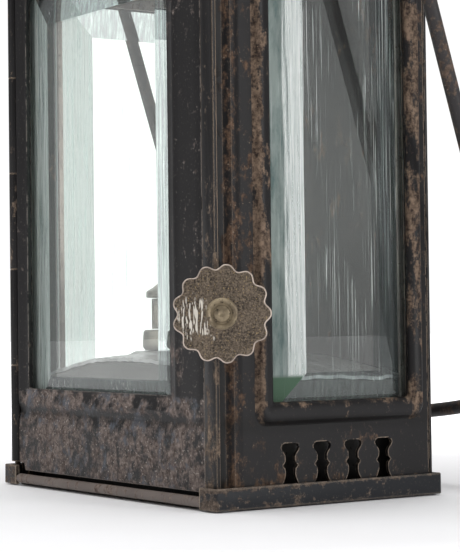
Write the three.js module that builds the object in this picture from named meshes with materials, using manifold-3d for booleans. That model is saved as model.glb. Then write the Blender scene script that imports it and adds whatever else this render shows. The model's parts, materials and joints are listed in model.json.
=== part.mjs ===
// Hanging oil lantern of black-painted tinplate, millimetres, +Z up.
// The origin is on the table plane under the burner; the glazed door faces -Y,
// the wick's thumbwheel stands off the front right corner, and the bail hangs behind.
import * as THREE from 'three';
import { mergeVertices } from 'three/addons/utils/BufferGeometryUtils.js';
import Module from 'manifold-3d';

const wasm = await Module();
wasm.setup();

// ---- Driving dimensions -------------------------------------------------------

const bodyWidth = 127;
const bodyDepth = 82.5;
const wallTop = 176;
const sheet = 1.2;
const gap = 0.3; // between pieces that touch

const footHeight = 7;
const footProud = 2.2;
const footReturn = 8.5; // of the band, round each front corner
const footLift = 0.4; // of the band and walls above the underside of the base
const beadRadius = 1.7;
const beadLift = 0.8;

const frameFront = 14; // front plane to the window frame on a side wall
const frameRear = 3.6;
const frameBottom = 26.5;
const frameTopMargin = 2;
const frameBar = 6;
const frameSill = 4.9;
const frameProud = 2.2;
const frameCorner = 4.5;

const recessDepth = 1.6; // groove beside the front corner
const ridgeProud = 0.4;
const recessRun = 4.4;
const ridgeStep = 1.4;

const ventCount = 4;
const ventPitch = 12;
const ventFirst = 26.7; // front plane to the first vent's middle
const ventWidth = 6.8;
const ventHeight = 13.4;
const ventTop = 19;

const glassThick = 3;
const glassEdge = 1;
const bevelWidth = 16;
// Glass hidden behind the edges of its opening: front or left, rear or right, sill, head.
const sideLap = { low: 1.8, high: 6.1, sill: 7.6, head: 5 };
const doorLap = { low: 4.3, high: 6.3, sill: 11.8, head: 5 };
const retainerThick = 1.2;

const jambWidth = 6.3;
const jambThick = 1.3;
const stopWidth = 10;
const doorThick = 3;
const doorGap = 0.5;
const doorBottom = 5.2;
const doorTopMargin = 1.4;
const doorNotch = 3.3; // of its foot beside the hinge, clear of the foot band as it opens
const doorStileRight = 20;
const doorStileLeft = 5.6;
const doorOpeningBottom = 33.4;
const doorHeadRail = 6;
const barrelRadius = 2.1;
const hingePinRadius = 1;
const knuckleCount = 5;
const hingeFoot = 8; // lower end of the hinge barrel

const buttonDrop = 19; // of its pivot below the wall's top
const buttonLength = 14;
const buttonWidth = 6;
const rivetRadius = 1.2;

const corniceHeight = 9.7;
const corniceProud = 7;
const corniceInset = 2.6;
const roofHeight = 25.7;
const roofProud = 5.5;
const roofTopScale = 0.42;
const roofSheet = 1.5;
const chimneyRadius = 17.5;
const chimneyHeight = 37.8;
const chimneyVents = 8;
const chimneyVentHeight = 15;
const capRadius = 26;
const capHeight = 24.7;

const bailRadius = 2.4;
const bailOutboard = 20; // middle of a leg beyond the side wall
const bailPivotY = 12.1;
const bailPivotRise = 19; // above the walls
const bailGripLift = 21.6; // of the grip's lowest point at rest
const bailTilt = 17.7 * Math.PI / 180; // back from straight down
const bailSag = 9;
const bailCorner = 15;
const earThick = 2;
const earWidth = 16;

const fontClear = 1.2;
const fontBaseGap = 0.3;
const fontWall = 1.2;
const burnerRadius = 18.2;
const spindleHeight = 58;
const spindleRadius = 1.5;
const spindleOffset = 5; // of its axis beside the wick
const wheelStandX = 5; // thumbwheel's middle outboard of the front corner
const wheelStandY = 1.05;
const wheelRadius = 14.5;
const wheelThick = 1.6;
const wheelLobes = 13;
const lobeDepth = 1.5;
const ratchetRadius = 3.2;
const wickWidth = 16;
const wickThick = 2.8;

// ---- Places that follow from them ---------------------------------------------

const right = bodyWidth / 2;
const back = bodyDepth / 2;
const front = -back;
const sideRear = back - sheet - gap;
const frameTop = wallTop - frameTopMargin;
const openingFront = front + frameFront + frameBar;
const openingRear = back - frameRear - frameBar;
const openingBottom = frameBottom + frameSill;
const openingTop = frameTop - frameBar + 1;
const doorRight = right - jambWidth - doorGap;
const hingeX = -right + barrelRadius;
const hingeY = front + barrelRadius / 2;
const doorLeft = hingeX + barrelRadius + 0.4;
const doorTop = wallTop - doorTopMargin;
const doorOpeningTop = doorTop - doorHeadRail;
const doorOpeningRight = doorRight - doorStileRight;
const doorOpeningLeft = doorLeft + doorStileLeft;
const doorGlassY = front + doorThick + gap;
const retainerY = doorGlassY + glassThick + gap;
const fontFront = retainerY + retainerThick + fontClear;
const fontRear = sideRear - fontClear;
const fontRight = right - sheet - glassThick - retainerThick - 3 * gap - gap;
const roofBottom = wallTop + gap + corniceHeight + gap;
const roofTop = roofBottom + roofHeight;
const chimneyBottom = roofTop + gap;
const chimneyTop = chimneyBottom + chimneyHeight;
const capBottom = chimneyTop - 5.8;
const bailPivotZ = wallTop + bailPivotRise;
const bailReach = (bailPivotZ - bailGripLift) / Math.cos(bailTilt);
const buttonHeight = wallTop - buttonDrop;
const leftStop = Math.max(front + doorThick, hingeY + barrelRadius) + gap;

// The thumbwheel faces outward over the corner, on an axis passing beside the wick.
const wheelX = right + wheelStandX;
const wheelY = front - wheelStandY;
const wheelDistance = Math.hypot(wheelX, wheelY);
const wheelBearing = Math.atan2(wheelY, wheelX) - Math.asin(spindleOffset / wheelDistance);
const spindleOut = new THREE.Vector3(Math.cos(wheelBearing), Math.sin(wheelBearing), 0);
const wickNormal = new THREE.Vector3(-spindleOut.y, spindleOut.x, 0);
const spindleFoot = wickNormal.clone().multiplyScalar(spindleOffset).setZ(spindleHeight);
const wheelRun = Math.sqrt(wheelDistance ** 2 - spindleOffset ** 2);

// ---- Finishes --------------------------------------------------------------------

const finishes = {
  blackTin: { color: '#2b2826', roughness: 0.45, metalness: 0.35 },
  wornTin: { color: '#4a423c', roughness: 0.55, metalness: 0.5 },
  bareIron: { color: '#4b3f36', roughness: 0.6, metalness: 0.7 },
  greyTin: { color: '#6f6c68', roughness: 0.5, metalness: 0.7 },
  brass: { color: '#7c6a4c', roughness: 0.45, metalness: 0.8 },
  pewter: { color: '#857869', roughness: 0.5, metalness: 0.7 },
  glass: { color: '#cfdcd6', roughness: 0.05, metalness: 0, transparent: true, opacity: 0.35 },
  cotton: { color: '#c9bda4', roughness: 0.95, metalness: 0 },
};

const lantern = new THREE.Group();

function part(name, geometry, finish) {
  const mesh = new THREE.Mesh(geometry, new THREE.MeshStandardMaterial(finishes[finish]));
  mesh.name = name;
  lantern.add(mesh);
  return mesh;
}

// ---- Solids: joining, cutting and the basic forms ---------------------------------

function toSolid(geometry) {
  const bare = geometry.clone();
  bare.deleteAttribute('normal');
  bare.deleteAttribute('uv');
  const merged = mergeVertices(bare, 1e-4);
  const corners = merged.index.array;
  const kept = [];
  for (let i = 0; i < corners.length; i += 3) {
    const [a, b, c] = [corners[i], corners[i + 1], corners[i + 2]];
    if (a !== b && b !== c && c !== a) kept.push(a, b, c);
  }
  return new wasm.Manifold(new wasm.Mesh({
    numProp: 3,
    vertProperties: new Float32Array(merged.attributes.position.array),
    triVerts: new Uint32Array(kept),
  }));
}

function toGeometry(manifold) {
  const mesh = manifold.getMesh();
  const geometry = new THREE.BufferGeometry();
  geometry.setAttribute('position', new THREE.BufferAttribute(mesh.vertProperties.slice(), 3));
  geometry.setIndex(new THREE.BufferAttribute(mesh.triVerts.slice(), 1));
  geometry.computeVertexNormals();
  return geometry;
}

function join(...geometries) {
  return toGeometry(geometries.map(toSolid).reduce((sum, next) => sum.add(next)));
}

function cut(geometry, ...tools) {
  return toGeometry(tools.map(toSolid).reduce((rest, tool) => rest.subtract(tool), toSolid(geometry)));
}

function common(first, second) {
  return toGeometry(toSolid(first).intersect(toSolid(second)));
}

function block(x0, x1, y0, y1, z0, z1) {
  const box = new THREE.BoxGeometry(x1 - x0, y1 - y0, z1 - z0);
  return box.translate((x0 + x1) / 2, (y0 + y1) / 2, (z0 + z1) / 2);
}

function polygon(points) {
  return new THREE.Shape(points.map(([x, y]) => new THREE.Vector2(x, y)));
}

function rectangle(x0, x1, y0, y1, corner = 0) {
  if (corner === 0) return polygon([[x0, y0], [x1, y0], [x1, y1], [x0, y1]]);
  const shape = new THREE.Shape();
  const quarter = Math.PI / 2;
  shape.absarc(x1 - corner, y0 + corner, corner, -quarter, 0);
  shape.absarc(x1 - corner, y1 - corner, corner, 0, quarter);
  shape.absarc(x0 + corner, y1 - corner, corner, quarter, 2 * quarter);
  shape.absarc(x0 + corner, y0 + corner, corner, 2 * quarter, 3 * quarter);
  return shape;
}

function prism(shape, height, options = {}) {
  const settings = { depth: height, bevelEnabled: false, curveSegments: 5, ...options };
  return new THREE.ExtrudeGeometry(shape, settings);
}

// A flat shape drawn in Y and Z, given its thickness towards +X.
function sidePlate(shape, x, thickness, options) {
  const turn = new THREE.Matrix4().makeBasis(
    new THREE.Vector3(0, 1, 0),
    new THREE.Vector3(0, 0, 1),
    new THREE.Vector3(1, 0, 0),
  );
  return prism(shape, thickness, options).applyMatrix4(turn).translate(x, 0, 0);
}

// A flat shape drawn in X and Z, given its thickness from y towards +Y.
function frontPlate(shape, y, thickness, options) {
  return prism(shape, thickness, options).rotateX(Math.PI / 2).translate(0, y + thickness, 0);
}

// A turned form about the Z axis; the profile lists [radius, height] pairs.
function turned(profile, segments = 32) {
  const onAxis = profile[0][0] === 0 && profile[profile.length - 1][0] === 0;
  const points = onAxis ? profile : [...profile, profile[0]];
  const lathe = new THREE.LatheGeometry(points.map(([r, z]) => new THREE.Vector2(r, z)), segments);
  return toGeometry(toSolid(lathe.rotateX(Math.PI / 2)));
}

function disc(radius, z0, z1, segments = 24) {
  return turned([[0, z0], [radius, z0], [radius, z1], [0, z1]], segments);
}

function ring(inner, outer, z0, z1, segments = 24) {
  return turned([[inner, z0], [outer, z0], [outer, z1], [inner, z1]], segments);
}

function mirrored(geometry) {
  return toGeometry(toSolid(geometry).mirror([1, 0, 0]));
}

// Lays a form made along Z on the spindle's axis, its z = 0 at the wick.
function onSpindle(geometry) {
  const turn = new THREE.Matrix4().makeBasis(
    wickNormal.clone(),
    new THREE.Vector3(0, 0, 1),
    spindleOut.clone(),
  );
  return geometry.applyMatrix4(turn).translate(spindleFoot.x, spindleFoot.y, spindleFoot.z);
}

// The spool-shaped air hole, standing on y = 0.
function spoolOutline(width, height, middle = 0, foot = 0) {
  const half = width / 2;
  const waist = half * 0.56;
  const swell = half * 0.8;
  const side = [[half, 0], [half * 0.95, 0.14], [waist, 0.25], [waist, 0.4], [swell, 0.46],
    [swell, 0.54], [waist, 0.6], [waist, 0.76], [half * 0.95, 0.86], [half, 1]];
  const rightSide = side.map(([x, y]) => [middle + x, foot + y * height]);
  const leftSide = side.map(([x, y]) => [middle - x, foot + y * height]).reverse();
  return polygon([...rightSide, ...leftSide]);
}

const spindlePassage = onSpindle(disc(3 + gap, 60, 90));

// ---- Base ----------------------------------------------------------------------------

function basePlate() {
  const half = right - recessDepth - sheet - gap;
  return block(-half, half, front + jambThick + gap, sideRear, 0, sheet);
}

function footBand() {
  const outer = right + footProud;
  const inner = right + ridgeProud + gap;
  const outerBack = back + footProud;
  const innerBack = back + gap;
  const outerFront = front - footProud;
  const innerFront = front - gap;
  const end = outer - footReturn;
  const shape = polygon([
    [end, outerFront], [outer, outerFront], [outer, outerBack], [-outer, outerBack],
    [-outer, outerFront], [-end, outerFront], [-end, innerFront], [-inner, innerFront],
    [-inner, innerBack], [inner, innerBack], [inner, innerFront], [end, innerFront],
  ]);
  return prism(shape, footHeight - footLift).translate(0, 0, footLift);
}

function frontBead() {
  const half = right + footProud - footReturn - gap;
  const rod = disc(beadRadius, -half, half, 16).rotateY(Math.PI / 2);
  return rod.translate(0, front - gap - 0.1, beadLift + beadRadius);
}

// ---- Side walls, each with a raised window frame, bevelled glass and a retainer ---------

function sideWall(startY) {
  const floorEnd = Math.max(front + recessRun, startY + 0.5);
  const plan = polygon([
    [right - recessDepth - sheet, startY],
    [right - recessDepth, startY],
    [right - recessDepth, floorEnd],
    [right + ridgeProud, floorEnd + ridgeStep],
    [right + ridgeProud, floorEnd + 2 * ridgeStep],
    [right, floorEnd + 3 * ridgeStep],
    [right, sideRear],
    [right - sheet, sideRear],
    [right - sheet, floorEnd + 2],
    [right - recessDepth - sheet, floorEnd + 1],
  ]);
  const wall = prism(plan, wallTop - footLift).translate(0, 0, footLift);
  const window = block(right - 5, right + 5, openingFront, openingRear, openingBottom, openingTop);
  const vents = [];
  for (let i = 0; i < ventCount; i += 1) {
    const middle = front + ventFirst + i * ventPitch;
    const outline = spoolOutline(ventWidth, ventHeight, middle, ventTop - ventHeight);
    vents.push(sidePlate(outline, right - 5, 10));
  }
  return cut(wall, window, ...vents);
}

function windowFrame() {
  const edge = 0.7;
  const outline = rectangle(front + frameFront + edge, back - frameRear - edge,
    frameBottom + edge, frameTop - edge, frameCorner);
  outline.holes.push(rectangle(openingFront - edge, openingRear + edge,
    openingBottom - edge, openingTop + edge, frameCorner / 3));
  return sidePlate(outline, right + gap + edge, frameProud - gap - 2 * edge, {
    bevelEnabled: true, bevelThickness: edge, bevelSize: edge, bevelSegments: 1, curveSegments: 2,
  });
}

// A pane standing in X and Z about x = z = 0: flat behind, bevelled on its front face.
function bevelledPane(width, height, y) {
  const flatWidth = width - 2 * bevelWidth;
  const flatHeight = height - 2 * bevelWidth;
  const plate = frontPlate(rectangle(-width / 2, width / 2, -height / 2, height / 2), y, glassThick);
  const rise = glassThick - glassEdge;
  const slope = rise / bevelWidth;
  const reach = 2 * Math.max(width, height);
  const tools = [];
  const tilt = Math.atan(slope);
  const halfWidth = flatWidth / 2;
  const halfHeight = flatHeight / 2;
  for (const [halfRun, turn] of [[halfWidth, 0], [halfHeight, 1], [halfWidth, 2], [halfHeight, 3]]) {
    const wedge = block(0, reach, -reach, 0, -reach, reach);
    wedge.rotateZ(tilt).translate(halfRun, 0, 0).rotateY(-turn * Math.PI / 2);
    tools.push(wedge.translate(0, y, 0));
  }
  return cut(plate, ...tools);
}

// The edges of a pane that covers an opening, as [low, high, sill, head].
function paneEdges(low, high, bottom, top, lap) {
  return [low - lap.low, high + lap.high, bottom - lap.sill, top + lap.head];
}

// The strip that holds a pane: as wide all round as the glass that is hidden.
function glassStrip(edges, lap) {
  const [low, high, sill, head] = edges;
  const shape = rectangle(low, high, sill, head);
  shape.holes.push(rectangle(low + lap.low, high - lap.high, sill + lap.sill, head - lap.head));
  return shape;
}

const sidePaneEdges = paneEdges(openingFront, openingRear, openingBottom, openingTop, sideLap);
const doorPaneEdges = paneEdges(
  doorOpeningLeft, doorOpeningRight, doorOpeningBottom, doorOpeningTop, doorLap,
);

function sideGlass() {
  const [low, high, sill, head] = sidePaneEdges;
  const pane = bevelledPane(high - low, head - sill, 0).rotateZ(Math.PI / 2);
  return pane.translate(right - sheet - gap, (low + high) / 2, (sill + head) / 2);
}

function sideRetainer() {
  const shape = glassStrip(sidePaneEdges, sideLap);
  return sidePlate(shape, right - sheet - glassThick - 2 * gap - retainerThick, retainerThick);
}

// ---- Door, its jambs, hinge, glass and turn button ------------------------------------

function rightJamb() {
  const inner = right - jambWidth;
  const stopFront = front + doorThick + gap;
  const stopRear = stopFront + sheet;
  const plan = polygon([
    [inner, front], [right, front], [right, front + jambThick], [inner + sheet, front + jambThick],
    [inner + sheet, stopRear], [right - stopWidth, stopRear],
    [right - stopWidth, stopFront], [inner, stopFront],
  ]);
  const bottom = sheet + gap;
  const post = prism(plan, wallTop - bottom).translate(0, 0, bottom);
  return cut(post, spindlePassage, frontPeg(rivetRadius + gap, front - 1, front + 2));
}

function frontPeg(radius, y0, y1) {
  const peg = disc(radius, -y1, -y0, 12).rotateX(Math.PI / 2);
  return peg.translate(right - jambWidth / 2, 0, buttonHeight);
}

function knuckle(index) {
  const pitch = (doorTop - hingeFoot) / knuckleCount;
  const z0 = hingeFoot + index * pitch + gap / 2;
  return { z0, z1: z0 + pitch - gap };
}

const hingeBore = disc(hingePinRadius + gap, 0, wallTop, 12).translate(hingeX, hingeY, 0);

function barrel({ z0, z1 }) {
  return disc(barrelRadius, z0, z1, 16).translate(hingeX, hingeY, 0);
}

function leftJamb() {
  const bottom = sheet + gap;
  const stopEnd = Math.min(-right + stopWidth, doorOpeningLeft - doorLap.low - gap);
  const pieces = [block(-right + 0.4, stopEnd, leftStop, leftStop + sheet, bottom, wallTop)];
  for (let i = 0; i < knuckleCount; i += 2) {
    const { z0, z1 } = knuckle(i);
    pieces.push(barrel({ z0, z1 }));
    pieces.push(block(hingeX - 1.2, hingeX + 0.6, hingeY + 1, leftStop + 0.5, z0, z1));
  }
  return cut(join(...pieces), hingeBore);
}

function doorFrame() {
  const outline = rectangle(doorLeft, doorRight, doorBottom, doorTop);
  outline.holes.push(rectangle(doorOpeningLeft, doorOpeningRight, doorOpeningBottom, doorOpeningTop, 1.5));
  const pieces = [frontPlate(outline, front, doorThick)];
  for (let i = 1; i < knuckleCount; i += 2) {
    const { z0, z1 } = knuckle(i);
    pieces.push(barrel({ z0, z1 }));
    pieces.push(block(hingeX, doorLeft + 1, front, front + sheet, z0, z1));
  }
  const notch = block(-right, doorLeft + doorNotch, front - 1, front + doorThick + 1, 0, footHeight + 2 * gap);
  return cut(join(...pieces), hingeBore, notch);
}

function doorGlass() {
  const [low, high, sill, head] = doorPaneEdges;
  return bevelledPane(high - low, head - sill, doorGlassY).translate((low + high) / 2, 0, (sill + head) / 2);
}

function doorRetainer() {
  return frontPlate(glassStrip(doorPaneEdges, doorLap), retainerY, retainerThick);
}

function turnButton() {
  const half = buttonWidth / 2;
  const shape = new THREE.Shape();
  shape.absarc(0, 0, half, Math.PI, 2 * Math.PI);
  shape.absarc(0, buttonLength - half * 0.7, half * 0.7, 0, Math.PI);
  const plate = frontPlate(shape, front - gap - sheet, sheet);
  plate.translate(right - jambWidth / 2, 0, buttonHeight);
  return cut(plate, frontPeg(rivetRadius + gap, front - 5, front + 2));
}

function buttonRivet() {
  const face = front - 2 * gap - sheet;
  const head = turned([[0, 0], [2.2, 0], [2, 0.5], [1.2, 0.9], [0, 1.1]], 12).rotateX(Math.PI / 2);
  head.translate(right - jambWidth / 2, face, buttonHeight);
  return join(head, frontPeg(rivetRadius, face - 0.2, front + jambThick));
}

// ---- Cornice, roof and chimney ---------------------------------------------------------

function cornice() {
  const edge = 1.5;
  const outerX = right + corniceProud - edge;
  const outerY = back + corniceProud - edge;
  const innerX = right - corniceInset + edge;
  const innerY = back - corniceInset + edge;
  const shape = rectangle(-outerX, outerX, -outerY, outerY);
  shape.holes.push(rectangle(-innerX, innerX, -innerY, innerY));
  const moulding = prism(shape, corniceHeight - 2 * edge, {
    bevelEnabled: true, bevelThickness: edge, bevelSize: edge, bevelSegments: 2,
  });
  moulding.translate(0, 0, wallTop + gap + edge);
  const holes = [];
  for (const side of [-1, 1]) {
    for (const y of rivetPlaces) holes.push(earRivetShank(side, y, rivetRadius + gap, 50));
  }
  return cut(moulding, ...holes);
}

function hipped(width, depth, scale, z0, z1) {
  const form = new THREE.CylinderGeometry(scale * Math.SQRT1_2, Math.SQRT1_2, z1 - z0, 4, 1, false, Math.PI / 4);
  return form.rotateX(Math.PI / 2).scale(width, depth, 1).translate(0, 0, (z0 + z1) / 2);
}

function roof() {
  const width = bodyWidth + 2 * roofProud;
  const depth = bodyDepth + 2 * roofProud;
  const outer = hipped(width, depth, roofTopScale, roofBottom, roofTop);
  const inner = hipped(width - 3 * roofSheet, depth - 3 * roofSheet, roofTopScale,
    roofBottom - 0.01, roofTop - roofSheet);
  return cut(outer, inner, disc(chimneyRadius - 2, roofBottom, roofTop + 5));
}

function chimney() {
  const flange = chimneyRadius + 1.5;
  const inner = chimneyRadius - sheet;
  const tube = turned([
    [inner, chimneyBottom], [flange, chimneyBottom], [flange, chimneyBottom + sheet],
    [chimneyRadius, chimneyBottom + sheet], [chimneyRadius, chimneyTop], [inner, chimneyTop],
  ], 32);
  const outline = spoolOutline(ventWidth, chimneyVentHeight, 0, chimneyBottom + 9);
  const tools = [];
  for (let i = 0; i < chimneyVents; i += 1) {
    tools.push(sidePlate(outline, 5, 20).rotateZ((i + 0.5) * 2 * Math.PI / chimneyVents));
  }
  return cut(tube, ...tools);
}

function chimneyCap() {
  const rim = capRadius - 1.4;
  const z = capBottom;
  return turned([
    [0, z + 14.2], [14.5, z + 8.3], [rim, z + 0.9], [rim, z], [capRadius, z], [capRadius, z + 1.7],
    [15, z + 9.7], [5, z + 15.7], [4, z + 18.7], [5.5, z + 21.5],
    [3, z + capHeight - 0.6], [0, z + capHeight],
  ], 32);
}

// ---- Bail handle and its ears ------------------------------------------------------------

const rivetPlaces = [bailPivotY - 5.2, bailPivotY + 5.2];
const rivetHeight = wallTop + gap + corniceHeight - 3.5;
const earInner = right + corniceProud + gap;
const legX = right + bailOutboard;

function earRivetShank(side, y, radius, from) {
  const shank = disc(radius, from, earInner + earThick + gap + 0.2, 12).rotateY(side * Math.PI / 2);
  return shank.translate(0, y, rivetHeight);
}

function bailEar() {
  const half = earWidth / 2;
  const bottom = wallTop + gap + 1.5;
  const shape = new THREE.Shape();
  shape.moveTo(bailPivotY - half, bottom);
  shape.lineTo(bailPivotY + half, bottom);
  shape.lineTo(bailPivotY + half, rivetHeight + 3);
  shape.absarc(bailPivotY, bailPivotZ, half * 0.78, 0, Math.PI);
  shape.lineTo(bailPivotY - half, rivetHeight + 3);
  const plate = sidePlate(shape, earInner, earThick);
  const drop = bailPivotZ - bottom - 2.4;
  const legFront = bailPivotY + Math.tan(bailTilt) * drop - bailRadius / Math.cos(bailTilt);
  const stop = block(earInner + 0.5, legX + 0.5, legFront - 2.4, legFront - gap, bottom, bottom + 3.2);
  const bore = disc(bailRadius + gap, 40, 90, 16).rotateY(Math.PI / 2).translate(0, bailPivotY, bailPivotZ);
  const holes = rivetPlaces.map((y) => earRivetShank(1, y, rivetRadius + gap, 50));
  return cut(join(plate, stop), bore, ...holes);
}

function earRivet(side, y) {
  const face = earInner + earThick + gap;
  const head = turned([[0, 0], [2.2, 0], [2, 0.6], [1.2, 1.1], [0, 1.3]], 12).translate(0, 0, face);
  head.rotateY(side * Math.PI / 2).translate(0, y, rivetHeight);
  return join(head, earRivetShank(side, y, rivetRadius, right));
}

// The rod lies in the plane of X and -Z here, its pivots on the X axis.
function bailHandle() {
  const pinEnd = earInner - 1;
  const cornerZ = -(bailReach - bailSag);
  const turn = 6;
  const at = (x, z) => new THREE.Vector3(x, 0, z);
  const halfPath = (side) => [
    at(side * pinEnd, 0), at(side * (legX - turn), 0), at(side * legX, 0), at(side * legX, -turn),
    at(side * legX, cornerZ + bailCorner), at(side * legX, cornerZ),
    at(side * (legX - bailCorner), cornerZ - 1.5),
  ];
  const [r0, r1, r2, r3, r4, r5, r6] = halfPath(1);
  const [l0, l1, l2, l3, l4, l5, l6] = halfPath(-1);
  const path = new THREE.CurvePath();
  path.add(new THREE.LineCurve3(r0, r1));
  path.add(new THREE.QuadraticBezierCurve3(r1, r2, r3));
  path.add(new THREE.LineCurve3(r3, r4));
  path.add(new THREE.QuadraticBezierCurve3(r4, r5, r6));
  const bow = 2 * bailReach - 2 * (bailReach - bailSag) - 1.5;
  path.add(new THREE.QuadraticBezierCurve3(r6, at(0, cornerZ - bow + 1.5), l6));
  path.add(new THREE.QuadraticBezierCurve3(l6, l5, l4));
  path.add(new THREE.LineCurve3(l4, l3));
  path.add(new THREE.QuadraticBezierCurve3(l3, l2, l1));
  path.add(new THREE.LineCurve3(l1, l0));
  const section = new THREE.Shape();
  section.absarc(0, 0, bailRadius, 0, 2 * Math.PI);
  const rod = new THREE.ExtrudeGeometry(section, { steps: 76, curveSegments: 4, extrudePath: path });
  const head = disc(bailRadius + 1.6, pinEnd - 2, pinEnd + 0.1, 12);
  const heads = [head.clone().rotateY(Math.PI / 2), head.clone().rotateY(-Math.PI / 2)];
  const handle = join(rod, ...heads);
  return handle.rotateX(bailTilt).translate(0, bailPivotY, bailPivotZ);
}

// ---- Oil font and burner -----------------------------------------------------------------

// Height of the font's domed top by distance from the middle.
const fontDome = [[75, 37.7], [60, 38.6], [48, 41.5], [37, 44], [25, 45.2], [24, 46.2]];
const fontHole = 17;

function fontTop() {
  const outer = [[fontHole, 46.2], ...[...fontDome].reverse()].reverse();
  const under = outer.map(([r, z]) => [r, z - fontWall]).reverse();
  const dome = turned([...under, ...outer], 40);
  return common(dome, block(-fontRight, fontRight, fontFront, fontRear, 30, 60));
}

function fontTank() {
  const floor = sheet + fontBaseGap;
  const tank = block(-fontRight, fontRight, fontFront, fontRear, floor, 60);
  const cavity = block(-fontRight + fontWall, fontRight - fontWall, fontFront + fontWall,
    fontRear - fontWall, floor + fontWall, 70);
  const under = fontDome.map(([r, z]) => [r, z - fontWall - gap]);
  const above = turned([[0, 44.7], ...[...under].reverse(), [80, 37], [80, 70], [0, 70]], 40);
  return cut(tank, above, cavity);
}

const tubeWidth = wickWidth + 2.6;
const tubeThick = wickThick + 2.6;

// A rectangular form standing on the wick's lines.
function onWick(alongHalf, acrossHalf, z0, z1) {
  return block(-alongHalf, alongHalf, -acrossHalf, acrossHalf, z0, z1).rotateZ(wheelBearing);
}

function burnerCollar() {
  const cup = turned([
    [0, 44], [fontHole - gap, 44], [fontHole - gap, 46.5], [21, 46.5], [21.4, 48.5], [21, 53.2],
    [15.5, 53.2], [15.5, 47.5], [0, 47.5],
  ]);
  return cut(cup, onWick(tubeWidth / 2 + gap, tubeThick / 2 + gap, 40, 60));
}

function burnerNeck() {
  const flutes = 24;
  const steps = flutes * 4;
  const points = [];
  for (let i = 0; i < steps; i += 1) {
    const angle = i * 2 * Math.PI / steps;
    const radius = burnerRadius - 0.5 + 0.5 * Math.cos(flutes * angle);
    points.push([radius * Math.cos(angle), radius * Math.sin(angle)]);
  }
  const shape = polygon(points);
  shape.holes.push(new THREE.Path().absarc(0, 0, burnerRadius - 2, 0, 2 * Math.PI));
  const neck = prism(shape, 10, { curveSegments: 16 }).translate(0, 0, 53.5);
  return cut(neck, onSpindle(disc(spindleRadius + 2 * gap, 5, 40)));
}

function burnerCap() {
  const dome = turned([
    [0, 77.3], [9.6, 76.5], [10.4, 74.6], [13, 69.6], [16.5, 66.5], [16.5, 63.8], [20, 63.8],
    [20, 65.9], [18, 67], [14, 70.3], [11.5, 75], [10.6, 77.5], [0, 78.5],
  ], 24);
  return cut(dome, onWick(wickWidth / 2 + 0.8, wickThick / 2 + 0.8, 70, 90));
}

function wickTube() {
  const outer = onWick(tubeWidth / 2, tubeThick / 2, 30, 75);
  const inner = onWick(wickWidth / 2 + gap, wickThick / 2 + gap, 20, 85);
  const windows = ratchetPlaces.map((place) => {
    const low = spindleHeight - 4;
    const high = spindleHeight + 4;
    const slot = block(place - 1.3, place + 1.3, wickThick / 2 + 0.1, tubeThick, low, high);
    return slot.rotateZ(wheelBearing);
  });
  return cut(outer, inner, ...windows);
}

function wick() {
  return onWick(wickWidth / 2, wickThick / 2, 12, 80);
}

// ---- Wick raiser -----------------------------------------------------------------------

const ratchetPlaces = [-3.5, 3.5];

function ratchet(place) {
  const teeth = 8;
  const points = [];
  for (let i = 0; i < 2 * teeth; i += 1) {
    const radius = i % 2 === 0 ? ratchetRadius : ratchetRadius - 0.8;
    const angle = i * Math.PI / teeth;
    points.push([radius * Math.cos(angle), radius * Math.sin(angle)]);
  }
  const shape = polygon(points);
  shape.holes.push(new THREE.Path().absarc(0, 0, spindleRadius + gap, 0, 2 * Math.PI));
  return onSpindle(prism(shape, 1.6).translate(0, 0, place - 0.8));
}

function spindle() {
  const rod = disc(spindleRadius, -9, wheelRun + wheelThick / 2 + 0.6, 16);
  return onSpindle(rod);
}

function spindleBush() {
  return onSpindle(ring(spindleRadius + gap, 3, wheelRun - 12, wheelRun - 4, 16));
}

function thumbwheel() {
  const steps = wheelLobes * 8;
  const points = [];
  for (let i = 0; i < steps; i += 1) {
    const angle = i * 2 * Math.PI / steps;
    const radius = wheelRadius - lobeDepth / 2 + lobeDepth / 2 * Math.cos(wheelLobes * angle);
    points.push([radius * Math.cos(angle), radius * Math.sin(angle)]);
  }
  const plate = prism(polygon(points), wheelThick).translate(0, 0, wheelRun - wheelThick / 2);
  const face = wheelRun + wheelThick / 2;
  const hub = turned([
    [0, wheelRun - 3.4], [3, wheelRun - 3.4], [3, face - 0.5], [4.6, face - 0.2], [4.4, face + 0.8],
    [3.2, face + 1.1], [2.6, face + 0.6], [0, face + 0.6],
  ], 24);
  const bore = disc(spindleRadius + gap, wheelRun - 10, wheelRun + 10, 16);
  return onSpindle(cut(join(plate, hub), bore));
}

// ---- Assembly -----------------------------------------------------------------------------

part('base_plate', basePlate(), 'blackTin');
part('foot_band', footBand(), 'wornTin');
part('front_bead', frontBead(), 'wornTin');
part('right_side_wall', cut(sideWall(front + jambThick + gap), spindlePassage), 'blackTin');
part('left_side_wall', mirrored(sideWall(leftStop + sheet + gap)), 'blackTin');
part('right_window_frame', windowFrame(), 'blackTin');
part('left_window_frame', mirrored(windowFrame()), 'blackTin');
part('right_glass', sideGlass(), 'glass');
part('left_glass', mirrored(sideGlass()), 'glass');
part('right_glass_retainer', sideRetainer(), 'blackTin');
part('left_glass_retainer', mirrored(sideRetainer()), 'blackTin');
part('back_panel', block(-right, right, back - sheet, back, footLift, wallTop), 'blackTin');
part('right_jamb', rightJamb(), 'wornTin');
part('left_jamb', leftJamb(), 'wornTin');
part('door_frame', doorFrame(), 'blackTin');
part('door_glass', doorGlass(), 'glass');
part('door_glass_retainer', doorRetainer(), 'blackTin');
const hingePin = disc(hingePinRadius, hingeFoot - 1, doorTop + 0.8, 12).translate(hingeX, hingeY, 0);
part('door_hinge_pin', hingePin, 'bareIron');
part('turn_button', turnButton(), 'wornTin');
part('turn_button_rivet', buttonRivet(), 'bareIron');
part('cornice', cornice(), 'blackTin');
part('roof_hip', roof(), 'blackTin');
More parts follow.
